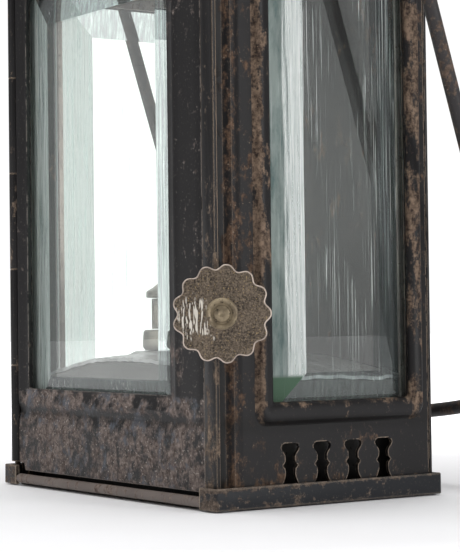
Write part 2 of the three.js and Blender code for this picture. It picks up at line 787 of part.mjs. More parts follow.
part('chimney_tube', chimney(), 'blackTin');
part('chimney_cap', chimneyCap(), 'blackTin');
part('bail_ear_right', bailEar(), 'wornTin');
part('bail_ear_left', mirrored(bailEar()), 'wornTin');
for (const [side, word] of [[1, 'right'], [-1, 'left']]) {
  part(`ear_rivet_${word}_front`, earRivet(side, rivetPlaces[0]), 'bareIron');
  part(`ear_rivet_${word}_rear`, earRivet(side, rivetPlaces[1]), 'bareIron');
}
part('bail_handle', bailHandle(), 'bareIron');
part('font_tank', fontTank(), 'greyTin');
part('font_top', fontTop(), 'greyTin');
part('burner_collar', burnerCollar(), 'brass');
part('burner_neck', burnerNeck(), 'brass');
part('burner_cap', burnerCap(), 'brass');
part('wick_tube', wickTube(), 'brass');
part('wick', wick(), 'cotton');
part('wick_spindle', spindle(), 'brass');
part('ratchet_inner', ratchet(ratchetPlaces[0]), 'brass');
part('ratchet_outer', ratchet(ratchetPlaces[1]), 'brass');
part('spindle_bush', spindleBush(), 'brass');
part('thumbwheel', thumbwheel(), 'pewter');

export default lantern;
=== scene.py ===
import json
import math

import bmesh
import bpy
from mathutils import Matrix, Vector, noise


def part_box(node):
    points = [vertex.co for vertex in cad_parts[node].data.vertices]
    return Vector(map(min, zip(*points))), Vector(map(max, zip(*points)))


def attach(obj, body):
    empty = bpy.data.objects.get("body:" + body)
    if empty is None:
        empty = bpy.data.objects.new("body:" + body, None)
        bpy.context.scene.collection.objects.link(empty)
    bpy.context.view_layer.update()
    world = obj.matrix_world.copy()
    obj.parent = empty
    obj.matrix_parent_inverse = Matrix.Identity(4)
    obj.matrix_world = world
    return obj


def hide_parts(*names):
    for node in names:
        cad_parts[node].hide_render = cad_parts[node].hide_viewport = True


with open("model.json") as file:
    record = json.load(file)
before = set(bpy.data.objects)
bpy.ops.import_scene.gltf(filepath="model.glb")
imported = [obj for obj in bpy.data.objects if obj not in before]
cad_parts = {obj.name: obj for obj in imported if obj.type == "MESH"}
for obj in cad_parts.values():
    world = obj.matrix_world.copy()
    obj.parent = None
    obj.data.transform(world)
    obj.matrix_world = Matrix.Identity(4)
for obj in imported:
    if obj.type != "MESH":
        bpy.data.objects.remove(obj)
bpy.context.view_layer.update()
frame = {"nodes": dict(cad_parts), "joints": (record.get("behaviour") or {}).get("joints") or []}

# A black-japanned tin oil lantern with a glazed door. Sizes here are millimetres.
mm = 0.001


def corners(node):
    low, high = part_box(node)
    return low / mm, high / mm


jambLow, jambHigh = corners("right_jamb")
wallHigh = corners("right_side_wall")[1]
cabinet = {
    "right": jambHigh.x,
    "front": jambLow.y,
    "back": corners("back_panel")[1].y,
    "top": wallHigh.z,
    "sheet": 1.2,
}
joints = {joint["name"]: joint for joint in frame["joints"]}


def makePiece(name, points, faces):
    mesh = bpy.data.meshes.new(name)
    mesh.from_pydata([Vector(p) * mm for p in points], [], faces)
    work = bmesh.new()
    work.from_mesh(mesh)
    bmesh.ops.remove_doubles(work, verts=work.verts, dist=1e-7)
    bmesh.ops.recalc_face_normals(work, faces=work.faces)
    work.to_mesh(mesh)
    work.free()
    piece = bpy.data.objects.new(name, mesh)
    bpy.context.scene.collection.objects.link(piece)
    return piece


def settle(piece):
    # turns what the modifiers show into the piece's own plain mesh
    shown = piece.evaluated_get(bpy.context.evaluated_depsgraph_get())
    mesh = bpy.data.meshes.new_from_object(shown)
    piece.modifiers.clear()
    piece.data = mesh
    return piece


def softenEdges(piece, width, segments=2, angle=32):
    bevel = piece.modifiers.new("edges", "BEVEL")
    bevel.width = width * mm
    bevel.segments = segments
    bevel.limit_method = "ANGLE"
    bevel.angle_limit = math.radians(angle)
    bevel.harden_normals = False
    return settle(piece)


def shadeByAngle(piece, angle=38):
    work = bmesh.new()
    work.from_mesh(piece.data)
    for face in work.faces:
        face.smooth = True
    for edge in work.edges:
        flat = len(edge.link_faces) != 2
        edge.smooth = not flat and edge.calc_face_angle(0) < math.radians(angle)
    work.to_mesh(piece.data)
    work.free()


def finishPiece(piece, material, body="lantern_body", stands=(), angle=38):
    piece.data.materials.clear()
    piece.data.materials.append(material)
    for face in piece.data.polygons:
        face.material_index = 0
    shadeByAngle(piece, angle)
    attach(piece, body)
    if stands:
        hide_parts(*stands)
    return piece


def refined(node, name, width, segments=2, angle=32):
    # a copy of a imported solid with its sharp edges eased
    mesh = frame["nodes"][node].data.copy()
    work = bmesh.new()
    work.from_mesh(mesh)
    bmesh.ops.remove_doubles(work, verts=work.verts, dist=2e-6)
    bmesh.ops.dissolve_limit(work, angle_limit=math.radians(1.5), verts=work.verts, edges=work.edges)
    work.to_mesh(mesh)
    work.free()
    piece = bpy.data.objects.new(name, mesh)
    bpy.context.scene.collection.objects.link(piece)
    return softenEdges(piece, width, segments, angle)


def easedCopy(node, ending, width, material, body="lantern_body", segments=2):
    piece = refined(node, f"{node}_{ending}", width, segments)
    return finishPiece(piece, material, body, [node])


def eased(points, radius, steps=4, closed=True):
    # an outline with its corners rounded
    result = []
    count = len(points)
    for i, point in enumerate(points):
        here = Vector(point)
        if not closed and i in (0, count - 1):
            result.append(here)
            continue
        before = Vector(points[i - 1]) - here
        after = Vector(points[(i + 1) % count]) - here
        reach = min(radius, before.length * 0.45, after.length * 0.45)
        start, end = here + before.normalized() * reach, here + after.normalized() * reach
        for k in range(steps + 1):
            t = k / steps
            result.append(start * (1 - t) ** 2 + here * 2 * t * (1 - t) + end * t * t)
    return result


def turned(name, profile, segments=72, place=Matrix.Identity(4)):
    # profile of (radius, height): from axis to axis, or a closed ring
    points, rings = [], []
    for radius, height in profile:
        if radius < 1e-6:
            rings.append([len(points)] * segments)
            points.append(place @ Vector((0, 0, height)))
            continue
        rings.append([len(points) + i for i in range(segments)])
        for i in range(segments):
            a = 2 * math.pi * i / segments
            points.append(place @ Vector((radius * math.cos(a), radius * math.sin(a), height)))
    faces = []
    onAxis = profile[0][0] < 1e-6 and profile[-1][0] < 1e-6
    for j in range(len(rings) - (1 if onAxis else 0)):
        low, high = rings[j], rings[(j + 1) % len(rings)]
        for i in range(segments):
            k = (i + 1) % segments
            corner = [low[i], low[k], high[k], high[i]]
            unique = list(dict.fromkeys(corner))
            if len(unique) > 2:
                faces.append(unique)
    return makePiece(name, points, faces)


def swept(name, path, section, closed=False):
    # section is a list of (side, up) offsets; path a list of points
    path = [Vector(p) for p in path]
    count = len(path)
    rings, points = [], []
    side = None
    for i, here in enumerate(path):
        ahead = path[(i + 1) % count] if closed or i < count - 1 else here
        behind = path[i - 1] if closed or i > 0 else here
        tangent = (ahead - behind).normalized()
        if side is None:
            side = tangent.orthogonal().normalized()
        side = (side - tangent * side.dot(tangent)).normalized()
        up = tangent.cross(side)
        rings.append(list(range(len(points), len(points) + len(section))))
        points.extend(here + side * a + up * b for a, b in section)
    faces = []
    for j in range(count if closed else count - 1):
        faces.extend(ringFaces(rings[j], rings[(j + 1) % count]))
    if not closed:
        faces.append(rings[0][::-1])
        faces.append(rings[-1])
    return makePiece(name, points, faces)


def ringFaces(first, second):
    # the faces between two rings of one length
    size = len(first)
    return [[first[i], first[(i + 1) % size], second[(i + 1) % size], second[i]] for i in range(size)]


def roundSection(radius, sides=20):
    return [(radius * math.cos(2 * math.pi * i / sides), radius * math.sin(2 * math.pi * i / sides))
            for i in range(sides)]


def frameLoop(outer, inner, share, corner, steps=6):
    # a rounded rectangle part of the way from the outer to the inner one
    u0, u1, v0, v1 = [a + (b - a) * share for a, b in zip(outer, inner)]
    radius = max(corner[0] + (corner[1] - corner[0]) * share, 0.01)
    loop = []
    for cu, cv, turn in ((u1, v0, -1), (u1, v1, 0), (u0, v1, 1), (u0, v0, 2)):
        mu = cu - radius if cu == u1 else cu + radius
        mv = cv - radius if cv == v1 else cv + radius
        for k in range(steps + 1):
            a = (turn + k / steps) * math.pi / 2
            loop.append((mu + radius * math.cos(a), mv + radius * math.sin(a)))
    return loop


def mouldedFrame(name, outer, inner, corner, profile, place):
    # profile is a closed list of (share of the way in, height)
    loops, points = [], []
    for share, height in profile:
        loop = frameLoop(outer, inner, share, corner)
        loops.append(range(len(points), len(points) + len(loop)))
        points.extend(place(u, v, height) for u, v in loop)
    faces = []
    for j in range(len(loops)):
        faces.extend(ringFaces(loops[j], loops[(j + 1) % len(loops)]))
    return makePiece(name, points, faces)


def cuts(low, high, step, through=()):
    # places from low to high, about a step apart, that include the given ones
    marks = sorted({low, high, *[m for m in through if low < m < high]})
    result = [low]
    for a, b in zip(marks, marks[1:]):
        count = max(1, round((b - a) / step))
        result.extend(a + (b - a) * (i + 1) / count for i in range(count))
    return result


def gridPlate(name, us, vs, hole, relief, under, place):
    # a sheet in u and v with a rectangular hole; relief(u, v) is its face and under(u, v) its back
    solid = {}
    for i in range(len(us) - 1):
        for j in range(len(vs) - 1):
            gone = hole and us[i] >= hole[0] - 1e-6 and us[i + 1] <= hole[1] + 1e-6
            gone = gone and vs[j] >= hole[2] - 1e-6 and vs[j + 1] <= hole[3] + 1e-6
            solid[i, j] = not gone
    number = lambda i, j, side: (i * len(vs) + j) * 2 + side
    points = []
    for u in us:
        for v in vs:
            points.append(place(u, v, relief(u, v)))
            points.append(place(u, v, under(u, v)))
    faces = []
    for (i, j), kept in solid.items():
        if not kept:
            continue
        ring = [(i, j), (i + 1, j), (i + 1, j + 1), (i, j + 1)]
        faces.append([number(a, b, 0) for a, b in ring])
        faces.append([number(a, b, 1) for a, b in reversed(ring)])
        for k, step in enumerate(((0, -1), (1, 0), (0, 1), (-1, 0))):
            if not solid.get((i + step[0], j + step[1]), False):
                (a, b), (c, d) = ring[k], ring[(k + 1) % 4]
                faces.append([number(a, b, 0), number(c, d, 0), number(c, d, 1), number(a, b, 1)])
    piece = makePiece(name, points, faces)
    work = bmesh.new()
    work.from_mesh(piece.data)
    loose = [v for v in work.verts if not v.link_faces]
    bmesh.ops.delete(work, geom=loose, context="VERTS")
    work.to_mesh(piece.data)
    work.free()
    return piece


def smoothStep(value, low, high):
    t = min(max((value - low) / (high - low), 0), 1)
    return t * t * (3 - 2 * t)


def dents(u, v, size, depth):
    return noise.noise(Vector((u / size, v / size, 3.7))) * depth


def feed(tree, node, name, value):
    if isinstance(value, bpy.types.NodeSocket):
        tree.links.new(value, node.inputs[name])
    else:
        node.inputs[name].default_value = value


def addNode(tree, kind, inputs=None, **settings):
    node = tree.nodes.new(kind)
    for name, value in settings.items():
        setattr(node, name, value)
    for name, value in (inputs or {}).items():
        feed(tree, node, name, value)
    return node


def reckon(tree, operation, *values):
    return addNode(tree, "ShaderNodeMath", dict(enumerate(values)), operation=operation).outputs[0]


def reckonVector(tree, operation, inputs, output=0):
    return addNode(tree, "ShaderNodeVectorMath", inputs, operation=operation).outputs[output]


def geometryTree(name, sockets):
    tree = bpy.data.node_groups.new(name, "GeometryNodeTree")
    tree.interface.new_socket("Geometry", in_out="INPUT", socket_type="NodeSocketGeometry")
    for label, kind in sockets:
        tree.interface.new_socket(label, in_out="INPUT", socket_type="NodeSocket" + kind)
    tree.interface.new_socket("Geometry", in_out="OUTPUT", socket_type="NodeSocketGeometry")
    return tree, tree.nodes.new("NodeGroupInput").outputs


def closeTree(tree, geometry, material):
    whole = addNode(tree, "GeometryNodeRealizeInstances", {"Geometry": geometry})
    painted = addNode(tree, "GeometryNodeSetMaterial", {"Geometry": whole.outputs[0], "Material": material})
    addNode(tree, "NodeGroupOutput", {"Geometry": painted.outputs[0]})


def applyTree(piece, tree, values):
    modifier = piece.modifiers.new(tree.name, "NODES")
    modifier.node_group = tree
    for item in tree.interface.items_tree:
        if item.item_type == "SOCKET" and item.in_out == "INPUT" and item.name in values:
            modifier[item.identifier] = values[item.name]
    return settle(piece)


def rowTree(name, pierce):
    # copies of one shape along a line, each turned on about Z; cut out of the piece or left standing
    tree, given = geometryTree(name, [("Shape", "Object"), ("Count", "Int"), ("Pitch", "Vector"),
                                      ("Start", "Vector"), ("Turn", "Float"), ("Material", "Material")])
    line = addNode(tree, "GeometryNodeMeshLine", {"Count": given["Count"], "Start Location": given["Start"],
                                                  "Offset": given["Pitch"]}, mode="OFFSET")
    index = addNode(tree, "GeometryNodeInputIndex")
    angle = reckon(tree, "MULTIPLY", index.outputs[0], given["Turn"])
    turn = addNode(tree, "ShaderNodeCombineXYZ", {"Z": angle})
    spin = addNode(tree, "FunctionNodeEulerToRotation", {0: turn.outputs[0]})
    shape = addNode(tree, "GeometryNodeObjectInfo", {"Object": given["Shape"]})
    copies = addNode(tree, "GeometryNodeInstanceOnPoints", {
        "Points": line.outputs["Mesh"], "Instance": shape.outputs["Geometry"], "Rotation": spin.outputs[0]})
    solid = addNode(tree, "GeometryNodeRealizeInstances", {"Geometry": copies.outputs[0]})
    if pierce:
        made = addNode(tree, "GeometryNodeMeshBoolean", {
            "Mesh 1": given["Geometry"], "Mesh 2": solid.outputs[0]}, operation="DIFFERENCE", solver="EXACT")
        closeTree(tree, made.outputs["Mesh"], given["Material"])
    else:
        closeTree(tree, solid.outputs[0], given["Material"])
    return tree


def rippled(tree, times):
    # each point's place, its parts, and a wave that runs so many times round Z
    place = addNode(tree, "GeometryNodeInputPosition").outputs[0]
    axes = addNode(tree, "ShaderNodeSeparateXYZ", {0: place}).outputs
    angle = reckon(tree, "ARCTAN2", axes["Y"], axes["X"])
    return place, axes, reckon(tree, "COSINE", reckon(tree, "MULTIPLY", angle, times))


def lobedTree():
    # a disc whose rim swells and sinks a whole number of times
    tree, given = geometryTree("lobedDisc", [("Lobes", "Int"), ("Radius", "Float"), ("Depth", "Float"),
                                             ("Thickness", "Float"), ("Material", "Material")])
    pointsPerLobe, sharpness = 20, 1.35
    detail = reckon(tree, "MULTIPLY", given["Lobes"], pointsPerLobe)
    rim = addNode(tree, "GeometryNodeCurvePrimitiveCircle", {
        "Resolution": detail, "Radius": given["Radius"]}, mode="RADIUS")
    place, _, swing = rippled(tree, given["Lobes"])
    valley = reckon(tree, "POWER", reckon(tree, "MULTIPLY_ADD", swing, -0.5, 0.5), sharpness)
    share = reckon(tree, "DIVIDE", reckon(tree, "MULTIPLY", valley, given["Depth"]), given["Radius"])
    keep = reckon(tree, "SUBTRACT", 1.0, share)
    moved = reckonVector(tree, "SCALE", {0: place, "Scale": keep})
    lobes = addNode(tree, "GeometryNodeSetPosition", {"Geometry": rim.outputs[0], "Position": moved})
    face = addNode(tree, "GeometryNodeFillCurve", {0: lobes.outputs[0]}, mode="NGONS")
    rise = addNode(tree, "ShaderNodeCombineXYZ", {"Z": 1.0})
    top = addNode(tree, "GeometryNodeExtrudeMesh", {"Mesh": face.outputs[0], "Offset": rise.outputs[0],
                                                    "Offset Scale": given["Thickness"], "Individual": False},
                  mode="FACES")
    floor = addNode(tree, "GeometryNodeFlipFaces", {"Mesh": face.outputs[0]})
    both = tree.nodes.new("GeometryNodeJoinGeometry")
    tree.links.new(top.outputs["Mesh"], both.inputs[0])
    tree.links.new(floor.outputs[0], both.inputs[0])
    welded = addNode(tree, "GeometryNodeMergeByDistance", {"Geometry": both.outputs[0], "Distance": 1e-6})
    closeTree(tree, welded.outputs[0], given["Material"])
    return tree


def flutedTree():
    # ripples a turned piece in and out round its axis, between two heights
    tree, given = geometryTree("flutes", [("Flutes", "Int"), ("Depth", "Float"), ("Low", "Float"),
                                          ("High", "Float"), ("Material", "Material")])
    _, axes, swing = rippled(tree, given["Flutes"])
    size = reckon(tree, "MULTIPLY", reckon(tree, "ADD", swing, -1.0), given["Depth"])
    flat = addNode(tree, "ShaderNodeCombineXYZ", {"X": axes["X"], "Y": axes["Y"]})
    outward = reckonVector(tree, "NORMALIZE", {0: flat.outputs[0]})
    move = reckonVector(tree, "SCALE", {0: outward, "Scale": size})
    above = reckon(tree, "GREATER_THAN", axes["Z"], given["Low"])
    below = reckon(tree, "LESS_THAN", axes["Z"], given["High"])
    ribbed = addNode(tree, "GeometryNodeSetPosition", {
        "Geometry": given["Geometry"], "Selection": reckon(tree, "MULTIPLY", above, below), "Offset": move})
    closeTree(tree, ribbed.outputs[0], given["Material"])
    return tree


def colour(code):
    # a printed hex colour as linear light
    parts = [int(code[i:i + 2], 16) / 255 for i in (1, 3, 5)]
    linear = [c / 12.92 if c <= 0.04045 else ((c + 0.055) / 1.055) ** 2.4 for c in parts]
    return (*linear, 1.0)


def blankMaterial(name):
    material = bpy.data.materials.new(name)
    material.use_nodes = True
    tree = material.node_tree
    tree.nodes.clear()
    shader = addNode(tree, "ShaderNodeBsdfPrincipled")
    output = addNode(tree, "ShaderNodeOutputMaterial", {"Surface": shader.outputs[0]})
    return material, tree, shader, output


def millimetres(tree, scale=(1, 1, 1), turn=(0, 0, 0)):
    place = addNode(tree, "ShaderNodeTexCoord")
    return addNode(tree, "ShaderNodeMapping", {
        "Vector": place.outputs["Object"], "Rotation": turn, "Scale": [s / mm for s in scale]}).outputs[0]


def noiseOf(tree, place, size, detail=3.0, roughness=0.55):
    return addNode(tree, "ShaderNodeTexNoise", {
        "Vector": place, "Scale": 1 / size, "Detail": detail, "Roughness": roughness}).outputs[0]


def ranged(tree, value, low, high, start=0.0, end=1.0):
    return addNode(tree, "ShaderNodeMapRange", {
        "Value": value, "From Min": low, "From Max": high, "To Min": start, "To Max": end}).outputs[0]


def blendColour(tree, share, first, second):
    return addNode(tree, "ShaderNodeMix", {0: share, 6: first, 7: second}, data_type="RGBA").outputs[2]


def zoneMask(tree, zones):
    # how strongly each zone (axis, from, to, soft edge, amount) counts: more wear for the zones list, more
    # painted shade for the grime list
    place = addNode(tree, "ShaderNodeSeparateXYZ", {0: millimetres(tree)})
    total = 0.0
    for axis, low, high, soft, amount in zones:
        rising = ranged(tree, place.outputs[axis], low - soft, low + soft)
        falling = ranged(tree, place.outputs[axis], high - soft, high + soft, 1.0, 0.0)
        mask = reckon(tree, "MULTIPLY", reckon(tree, "MULTIPLY", rising, falling), amount)
        total = reckon(tree, "ADD", total, mask)
    return total


lacquerLook = {
    "lacquer": "#131213", "lacquerPale": "#211f20",
    "rust": "#2c211b", "rustPale": "#6b5443",
    "bare": "#8f8072",
    "patch": 24.0, "mottle": 5.0, "speck": 0.8, "stretch": 2.2,
    "rustFrom": 0.60, "rustSoft": 0.09,
    "speckFrom": 0.66, "edge": 0.7, "edgeShare": 0.75,
    "satin": 0.36, "matt": 0.75, "relief": 0.12, "gloss": 0.24,
    "bloom": "#4f545c", "bloomShare": 0.0,
    "zones": (), "grime": (),
}


def edgeMask(tree, radius, whole, gone):
    # how near a sharp edge is: where the eased normal leaves the plain one
    easedNormal = addNode(tree, "ShaderNodeBevel", {"Radius": radius * mm}, samples=6)
    facing = addNode(tree, "ShaderNodeNewGeometry")
    pair = {0: easedNormal.outputs[0], 1: facing.outputs["Normal"]}
    return ranged(tree, reckonVector(tree, "DOT_PRODUCT", pair, "Value"), whole, gone)


def embossed(tree, shader, height, strength, depth):
    bump = addNode(tree, "ShaderNodeBump", {"Height": height, "Strength": strength, "Distance": depth * mm})
    feed(tree, shader, "Normal", bump.outputs[0])


def agedTin(name, **changes):
    # black japanning on tinplate: a satin stoved lacquer, foxed by rust and rubbed to bright metal on edges
    look = {**lacquerLook, **changes}
    material, tree, shader, _ = blankMaterial(name)
    plain = millimetres(tree)
    tall = millimetres(tree, (1, 1, 1 / look["stretch"]))
    patch = noiseOf(tree, plain, look["patch"], 2.0, 0.5)
    mottle = noiseOf(tree, tall, look["mottle"], 6.0, 0.66)
    speck = noiseOf(tree, plain, look["speck"], 2.0, 0.6)
    blotch = noiseOf(tree, tall, look["mottle"] * 0.45, 4.0, 0.6)
    grain = noiseOf(tree, plain, 0.3, 2.0, 0.6)
    crumb = noiseOf(tree, plain, 1.1, 4.0, 0.7)
    worn = zoneMask(tree, look["zones"]) if look["zones"] else 0.0

    wander = ranged(tree, patch, 0.3, 0.7, -0.09, 0.09)
    wander = reckon(tree, "ADD", wander, ranged(tree, crumb, 0.3, 0.7, -0.05, 0.05))
    decay = reckon(tree, "ADD", reckon(tree, "ADD", mottle, wander), worn)
    rusted = ranged(tree, decay, look["rustFrom"], look["rustFrom"] + look["rustSoft"])
    nearRust = ranged(tree, decay, look["rustFrom"] - 0.05, look["rustFrom"] + 0.12)
    specks = ranged(tree, speck, look["speckFrom"], look["speckFrom"] + 0.05)
    specks = reckon(tree, "MULTIPLY", specks, ranged(tree, nearRust, 0.0, 1.0, 0.12, 1.0))

    edge = edgeMask(tree, look["edge"], 0.985, 0.86)
    less = 0.3 * look["edgeShare"]
    chipped = ranged(tree, reckon(tree, "ADD", blotch, worn), 0.66 - less, 0.72 - less)
    rubbed = reckon(tree, "MULTIPLY", edge, chipped)

    lacquer = blendColour(tree, patch, colour(look["lacquer"]), colour(look["lacquerPale"]))
    tone = reckon(tree, "ADD", reckon(tree, "MULTIPLY", blotch, 0.5), reckon(tree, "MULTIPLY", crumb, 0.5))
    rust = blendColour(tree, ranged(tree, tone, 0.4, 0.62), colour(look["rust"]), colour(look["rustPale"]))
    skin = blendColour(tree, rusted, lacquer, rust)
    if look["bloomShare"]:
        cloudy = noiseOf(tree, tall, look["mottle"] * 1.3, 4.0, 0.7)
        veil = reckon(tree, "MULTIPLY", ranged(tree, cloudy, 0.54, 0.66), ranged(tree, worn, 0.02, 0.12))
        veil = reckon(tree, "MULTIPLY", veil, look["bloomShare"])
        skin = blendColour(tree, veil, skin, colour(look["bloom"]))
    skin = blendColour(tree, specks, skin, colour(look["bare"]))
    skin = blendColour(tree, rubbed, skin, colour(look["bare"]))
    # the grime zones are painted shade: grooves and recesses darkened towards near black
    if look["grime"]:
        skin = blendColour(tree, zoneMask(tree, look["grime"]), skin, colour("#0c0a09"))
    feed(tree, shader, "Base Color", skin)

    dull = ranged(tree, reckon(tree, "ADD", rusted, ranged(tree, grain, 0.3, 0.7, -0.15, 0.15)),
                  0.0, 1.0, look["satin"], look["matt"])
    feed(tree, shader, "Roughness", dull)
    feed(tree, shader, "Specular IOR Level", look["gloss"])
    metal = reckon(tree, "MULTIPLY", reckon(tree, "MAXIMUM", rubbed, specks), 0.55)
    feed(tree, shader, "Metallic", metal)

    flaked = reckon(tree, "MULTIPLY", rusted, ranged(tree, blotch, 0.3, 0.7, 0.2, 1.0))
    height = reckon(tree, "ADD", flaked, reckon(tree, "MULTIPLY", grain, 0.25))
    height = reckon(tree, "SUBTRACT", height, reckon(tree, "MULTIPLY", specks, 0.6))
    embossed(tree, shader, height, 0.8, look["relief"])
    return material


def plateGlass(name, haze, tint, scratched=True, paintedLightBelow=None, dullBefore=None):
    # polished plate glass, faintly green; haze is how much of a bevel is left grey from grinding
    material, tree, shader, output = blankMaterial(name)
    steep = (math.radians(4), math.radians(4), 0)
    leaning = (math.radians(-10), math.radians(-8), 0)
    fine = noiseOf(tree, millimetres(tree, (4.6, 4.6, 0.014), steep), 1.0, 0.0, 0.5)
    other = noiseOf(tree, millimetres(tree, (4.0, 4.0, 0.02), leaning), 1.0, 0.0, 0.5)
    where = noiseOf(tree, millimetres(tree, (1, 1, 0.3)), 11.0, 3.0, 0.6)
    dust = noiseOf(tree, millimetres(tree), 0.5, 1.0, 0.5)
    lines = reckon(tree, "MAXIMUM", ranged(tree, fine, 0.72, 0.77), ranged(tree, other, 0.74, 0.79))
    lines = reckon(tree, "MULTIPLY", lines, ranged(tree, where, 0.45, 0.57))
    motes = reckon(tree, "MULTIPLY", ranged(tree, dust, 0.76, 0.82), ranged(tree, where, 0.4, 0.6))
    marks = reckon(tree, "MULTIPLY", reckon(tree, "MAXIMUM", lines, motes), 0.9 if scratched else 0.08)
    streak = noiseOf(tree, millimetres(tree, (1.4, 1.4, 0.04)), 1.0, 4.0, 0.6)
    ground = ranged(tree, streak, 0.25, 0.7, haze * 0.45, haze)
    solid = reckon(tree, "MAXIMUM", reckon(tree, "MAXIMUM", marks, ground), 0.01)
    grey = blendColour(tree, ranged(tree, streak, 0.3, 0.65), colour("#8fa9a3"), colour(tint))
    rough = ranged(tree, solid, 0.02, 1.0, 0.0, 0.35)
    upright = addNode(tree, "ShaderNodeSeparateXYZ", {0: millimetres(tree)})
    # in front of dullBefore the bevel turns dull, rougher and cloudy teal-grey
    if dullBefore:
        ragged = reckon(tree, "ADD", upright.outputs["Y"], ranged(tree, streak, 0.3, 0.7, -2.0, 2.0))
        dull = ranged(tree, ragged, dullBefore[0], dullBefore[1], 1.0, 0.0)
        cloudy = ranged(tree, noiseOf(tree, millimetres(tree, (1, 1, 0.3)), 7.0, 5.0, 0.7), 0.4, 0.6)
        cloudyTeal = blendColour(tree, cloudy, colour("#9fb0aa"), colour("#4f6f6c"))
        grey = blendColour(tree, dull, grey, cloudyTeal)
        rough = reckon(tree, "MAXIMUM", rough, reckon(tree, "MULTIPLY", dull, 0.5))
    # below paintedLightBelow the bevel is painted green and nearly opaque: painted light, the green of light
    # carried a long way through the glass at the mitre
    if paintedLightBelow:
        low = ranged(tree, upright.outputs["Z"], paintedLightBelow[0], paintedLightBelow[1], 1.0, 0.0)
        grey = blendColour(tree, low, grey, colour("#42604a"))
        solid = reckon(tree, "MAXIMUM", solid, reckon(tree, "MULTIPLY", low, 0.85))
        rough = reckon(tree, "MAXIMUM", rough, reckon(tree, "MULTIPLY", low, 0.75))
    body = blendColour(tree, ranged(tree, solid, 0.01, 0.08), colour("#fafdfb"), grey)
    body = blendColour(tree, marks, body, colour("#c9cccb"))
    feed(tree, shader, "Base Color", body)
    feed(tree, shader, "Roughness", rough)
    feed(tree, shader, "Transmission Weight", reckon(tree, "SUBTRACT", 1.0, solid))
    feed(tree, shader, "IOR", 1.52)
    rays = addNode(tree, "ShaderNodeLightPath")
    clear = addNode(tree, "ShaderNodeBsdfTransparent", {"Color": colour("#f0f7f3")})
    mixed = addNode(tree, "ShaderNodeMixShader", {0: rays.outputs["Is Shadow Ray"], 1: shader.outputs[0],
                                                  2: clear.outputs[0]})
    feed(tree, output, "Surface", mixed.outputs[0])
    return material


def wheelPewter():
    # cast white metal, gone brown and granular, with bright cuts across one side
    material, tree, shader, _ = blankMaterial("castPewter")
    plain = millimetres(tree)
    grain = noiseOf(tree, plain, 0.55, 3.0, 0.7)
    cloud = noiseOf(tree, plain, 5.0, 3.0, 0.6)
    fleck = noiseOf(tree, plain, 0.42, 0.0, 0.5)
    skin = blendColour(tree, ranged(tree, cloud, 0.35, 0.65), colour("#3d352e"), colour("#65594c"))
    skin = blendColour(tree, ranged(tree, grain, 0.45, 0.7), skin, colour("#877969"))
    skin = blendColour(tree, ranged(tree, grain, 0.45, 0.3), skin, colour("#1c1814"))
    skin = blendColour(tree, ranged(tree, fleck, 0.72, 0.78), skin, colour("#9d8864"))
    flat = addNode(tree, "ShaderNodeUVMap", uv_map="face")
    cutsTotal = 0.0
    for angle, across in ((0.45, 21.0), (-0.5, 19.0), (1.35, 17.0), (-1.1, 18.0)):
        turn = addNode(tree, "ShaderNodeMapping", {"Vector": flat.outputs[0], "Rotation": (0, 0, angle),
                                                   "Scale": (across, 2.6, 1.0)})
        lines = noiseOf(tree, turn.outputs[0], 1.0, 1.0, 0.5)
        cutsTotal = reckon(tree, "MAXIMUM", cutsTotal, ranged(tree, lines, 0.6, 0.64))
    reach = reckonVector(tree, "DISTANCE", {0: flat.outputs[0], 1: (-0.5, -0.06, 0.0)}, "Value")
    ragged = ranged(tree, noiseOf(tree, plain, 2.5, 2.0, 0.6), 0.3, 0.7, -0.18, 0.18)
    region = ranged(tree, reckon(tree, "ADD", reach, ragged), 0.44, 0.32)
    cutMask = reckon(tree, "MULTIPLY", cutsTotal, region)
    skin = blendColour(tree, cutMask, skin, colour("#ddd6cb"))
    # the rim's eased edge is painted near white: a painted highlight
    rim = edgeMask(tree, 0.5, 0.98, 0.88)
    skin = blendColour(tree, reckon(tree, "MULTIPLY", rim, 0.95), skin, colour("#e6dccf"))
    feed(tree, shader, "Base Color", skin)
    feed(tree, shader, "Roughness", ranged(tree, cutMask, 0.0, 1.0, 0.55, 0.3))
    feed(tree, shader, "Metallic", 0.55)
    height = reckon(tree, "SUBTRACT", grain, reckon(tree, "MULTIPLY", cutMask, 0.5))
    embossed(tree, shader, height, 0.9, 0.16)
    return material


def dulledMetal(name, deep, pale, spot, roughness, metallic=0.85):
    # sheet metal gone dull: cloudy, with darker spots that stand up slightly
    material, tree, shader, _ = blankMaterial(name)
    plain = millimetres(tree)
    cloud = noiseOf(tree, plain, 6.0, 5.0, 0.62)
    spots = noiseOf(tree, plain, 1.1, 2.0, 0.6)
    skin = blendColour(tree, ranged(tree, cloud, 0.32, 0.68), colour(deep), colour(pale))
    skin = blendColour(tree, ranged(tree, spots, 0.62, 0.7), skin, colour(spot))
    feed(tree, shader, "Base Color", skin)
    dull = ranged(tree, cloud, 0.3, 0.7, roughness - 0.1, roughness + 0.12)
    feed(tree, shader, "Roughness", dull)
    feed(tree, shader, "Metallic", metallic)
    embossed(tree, shader, spots, 0.4, 0.08)
    return material


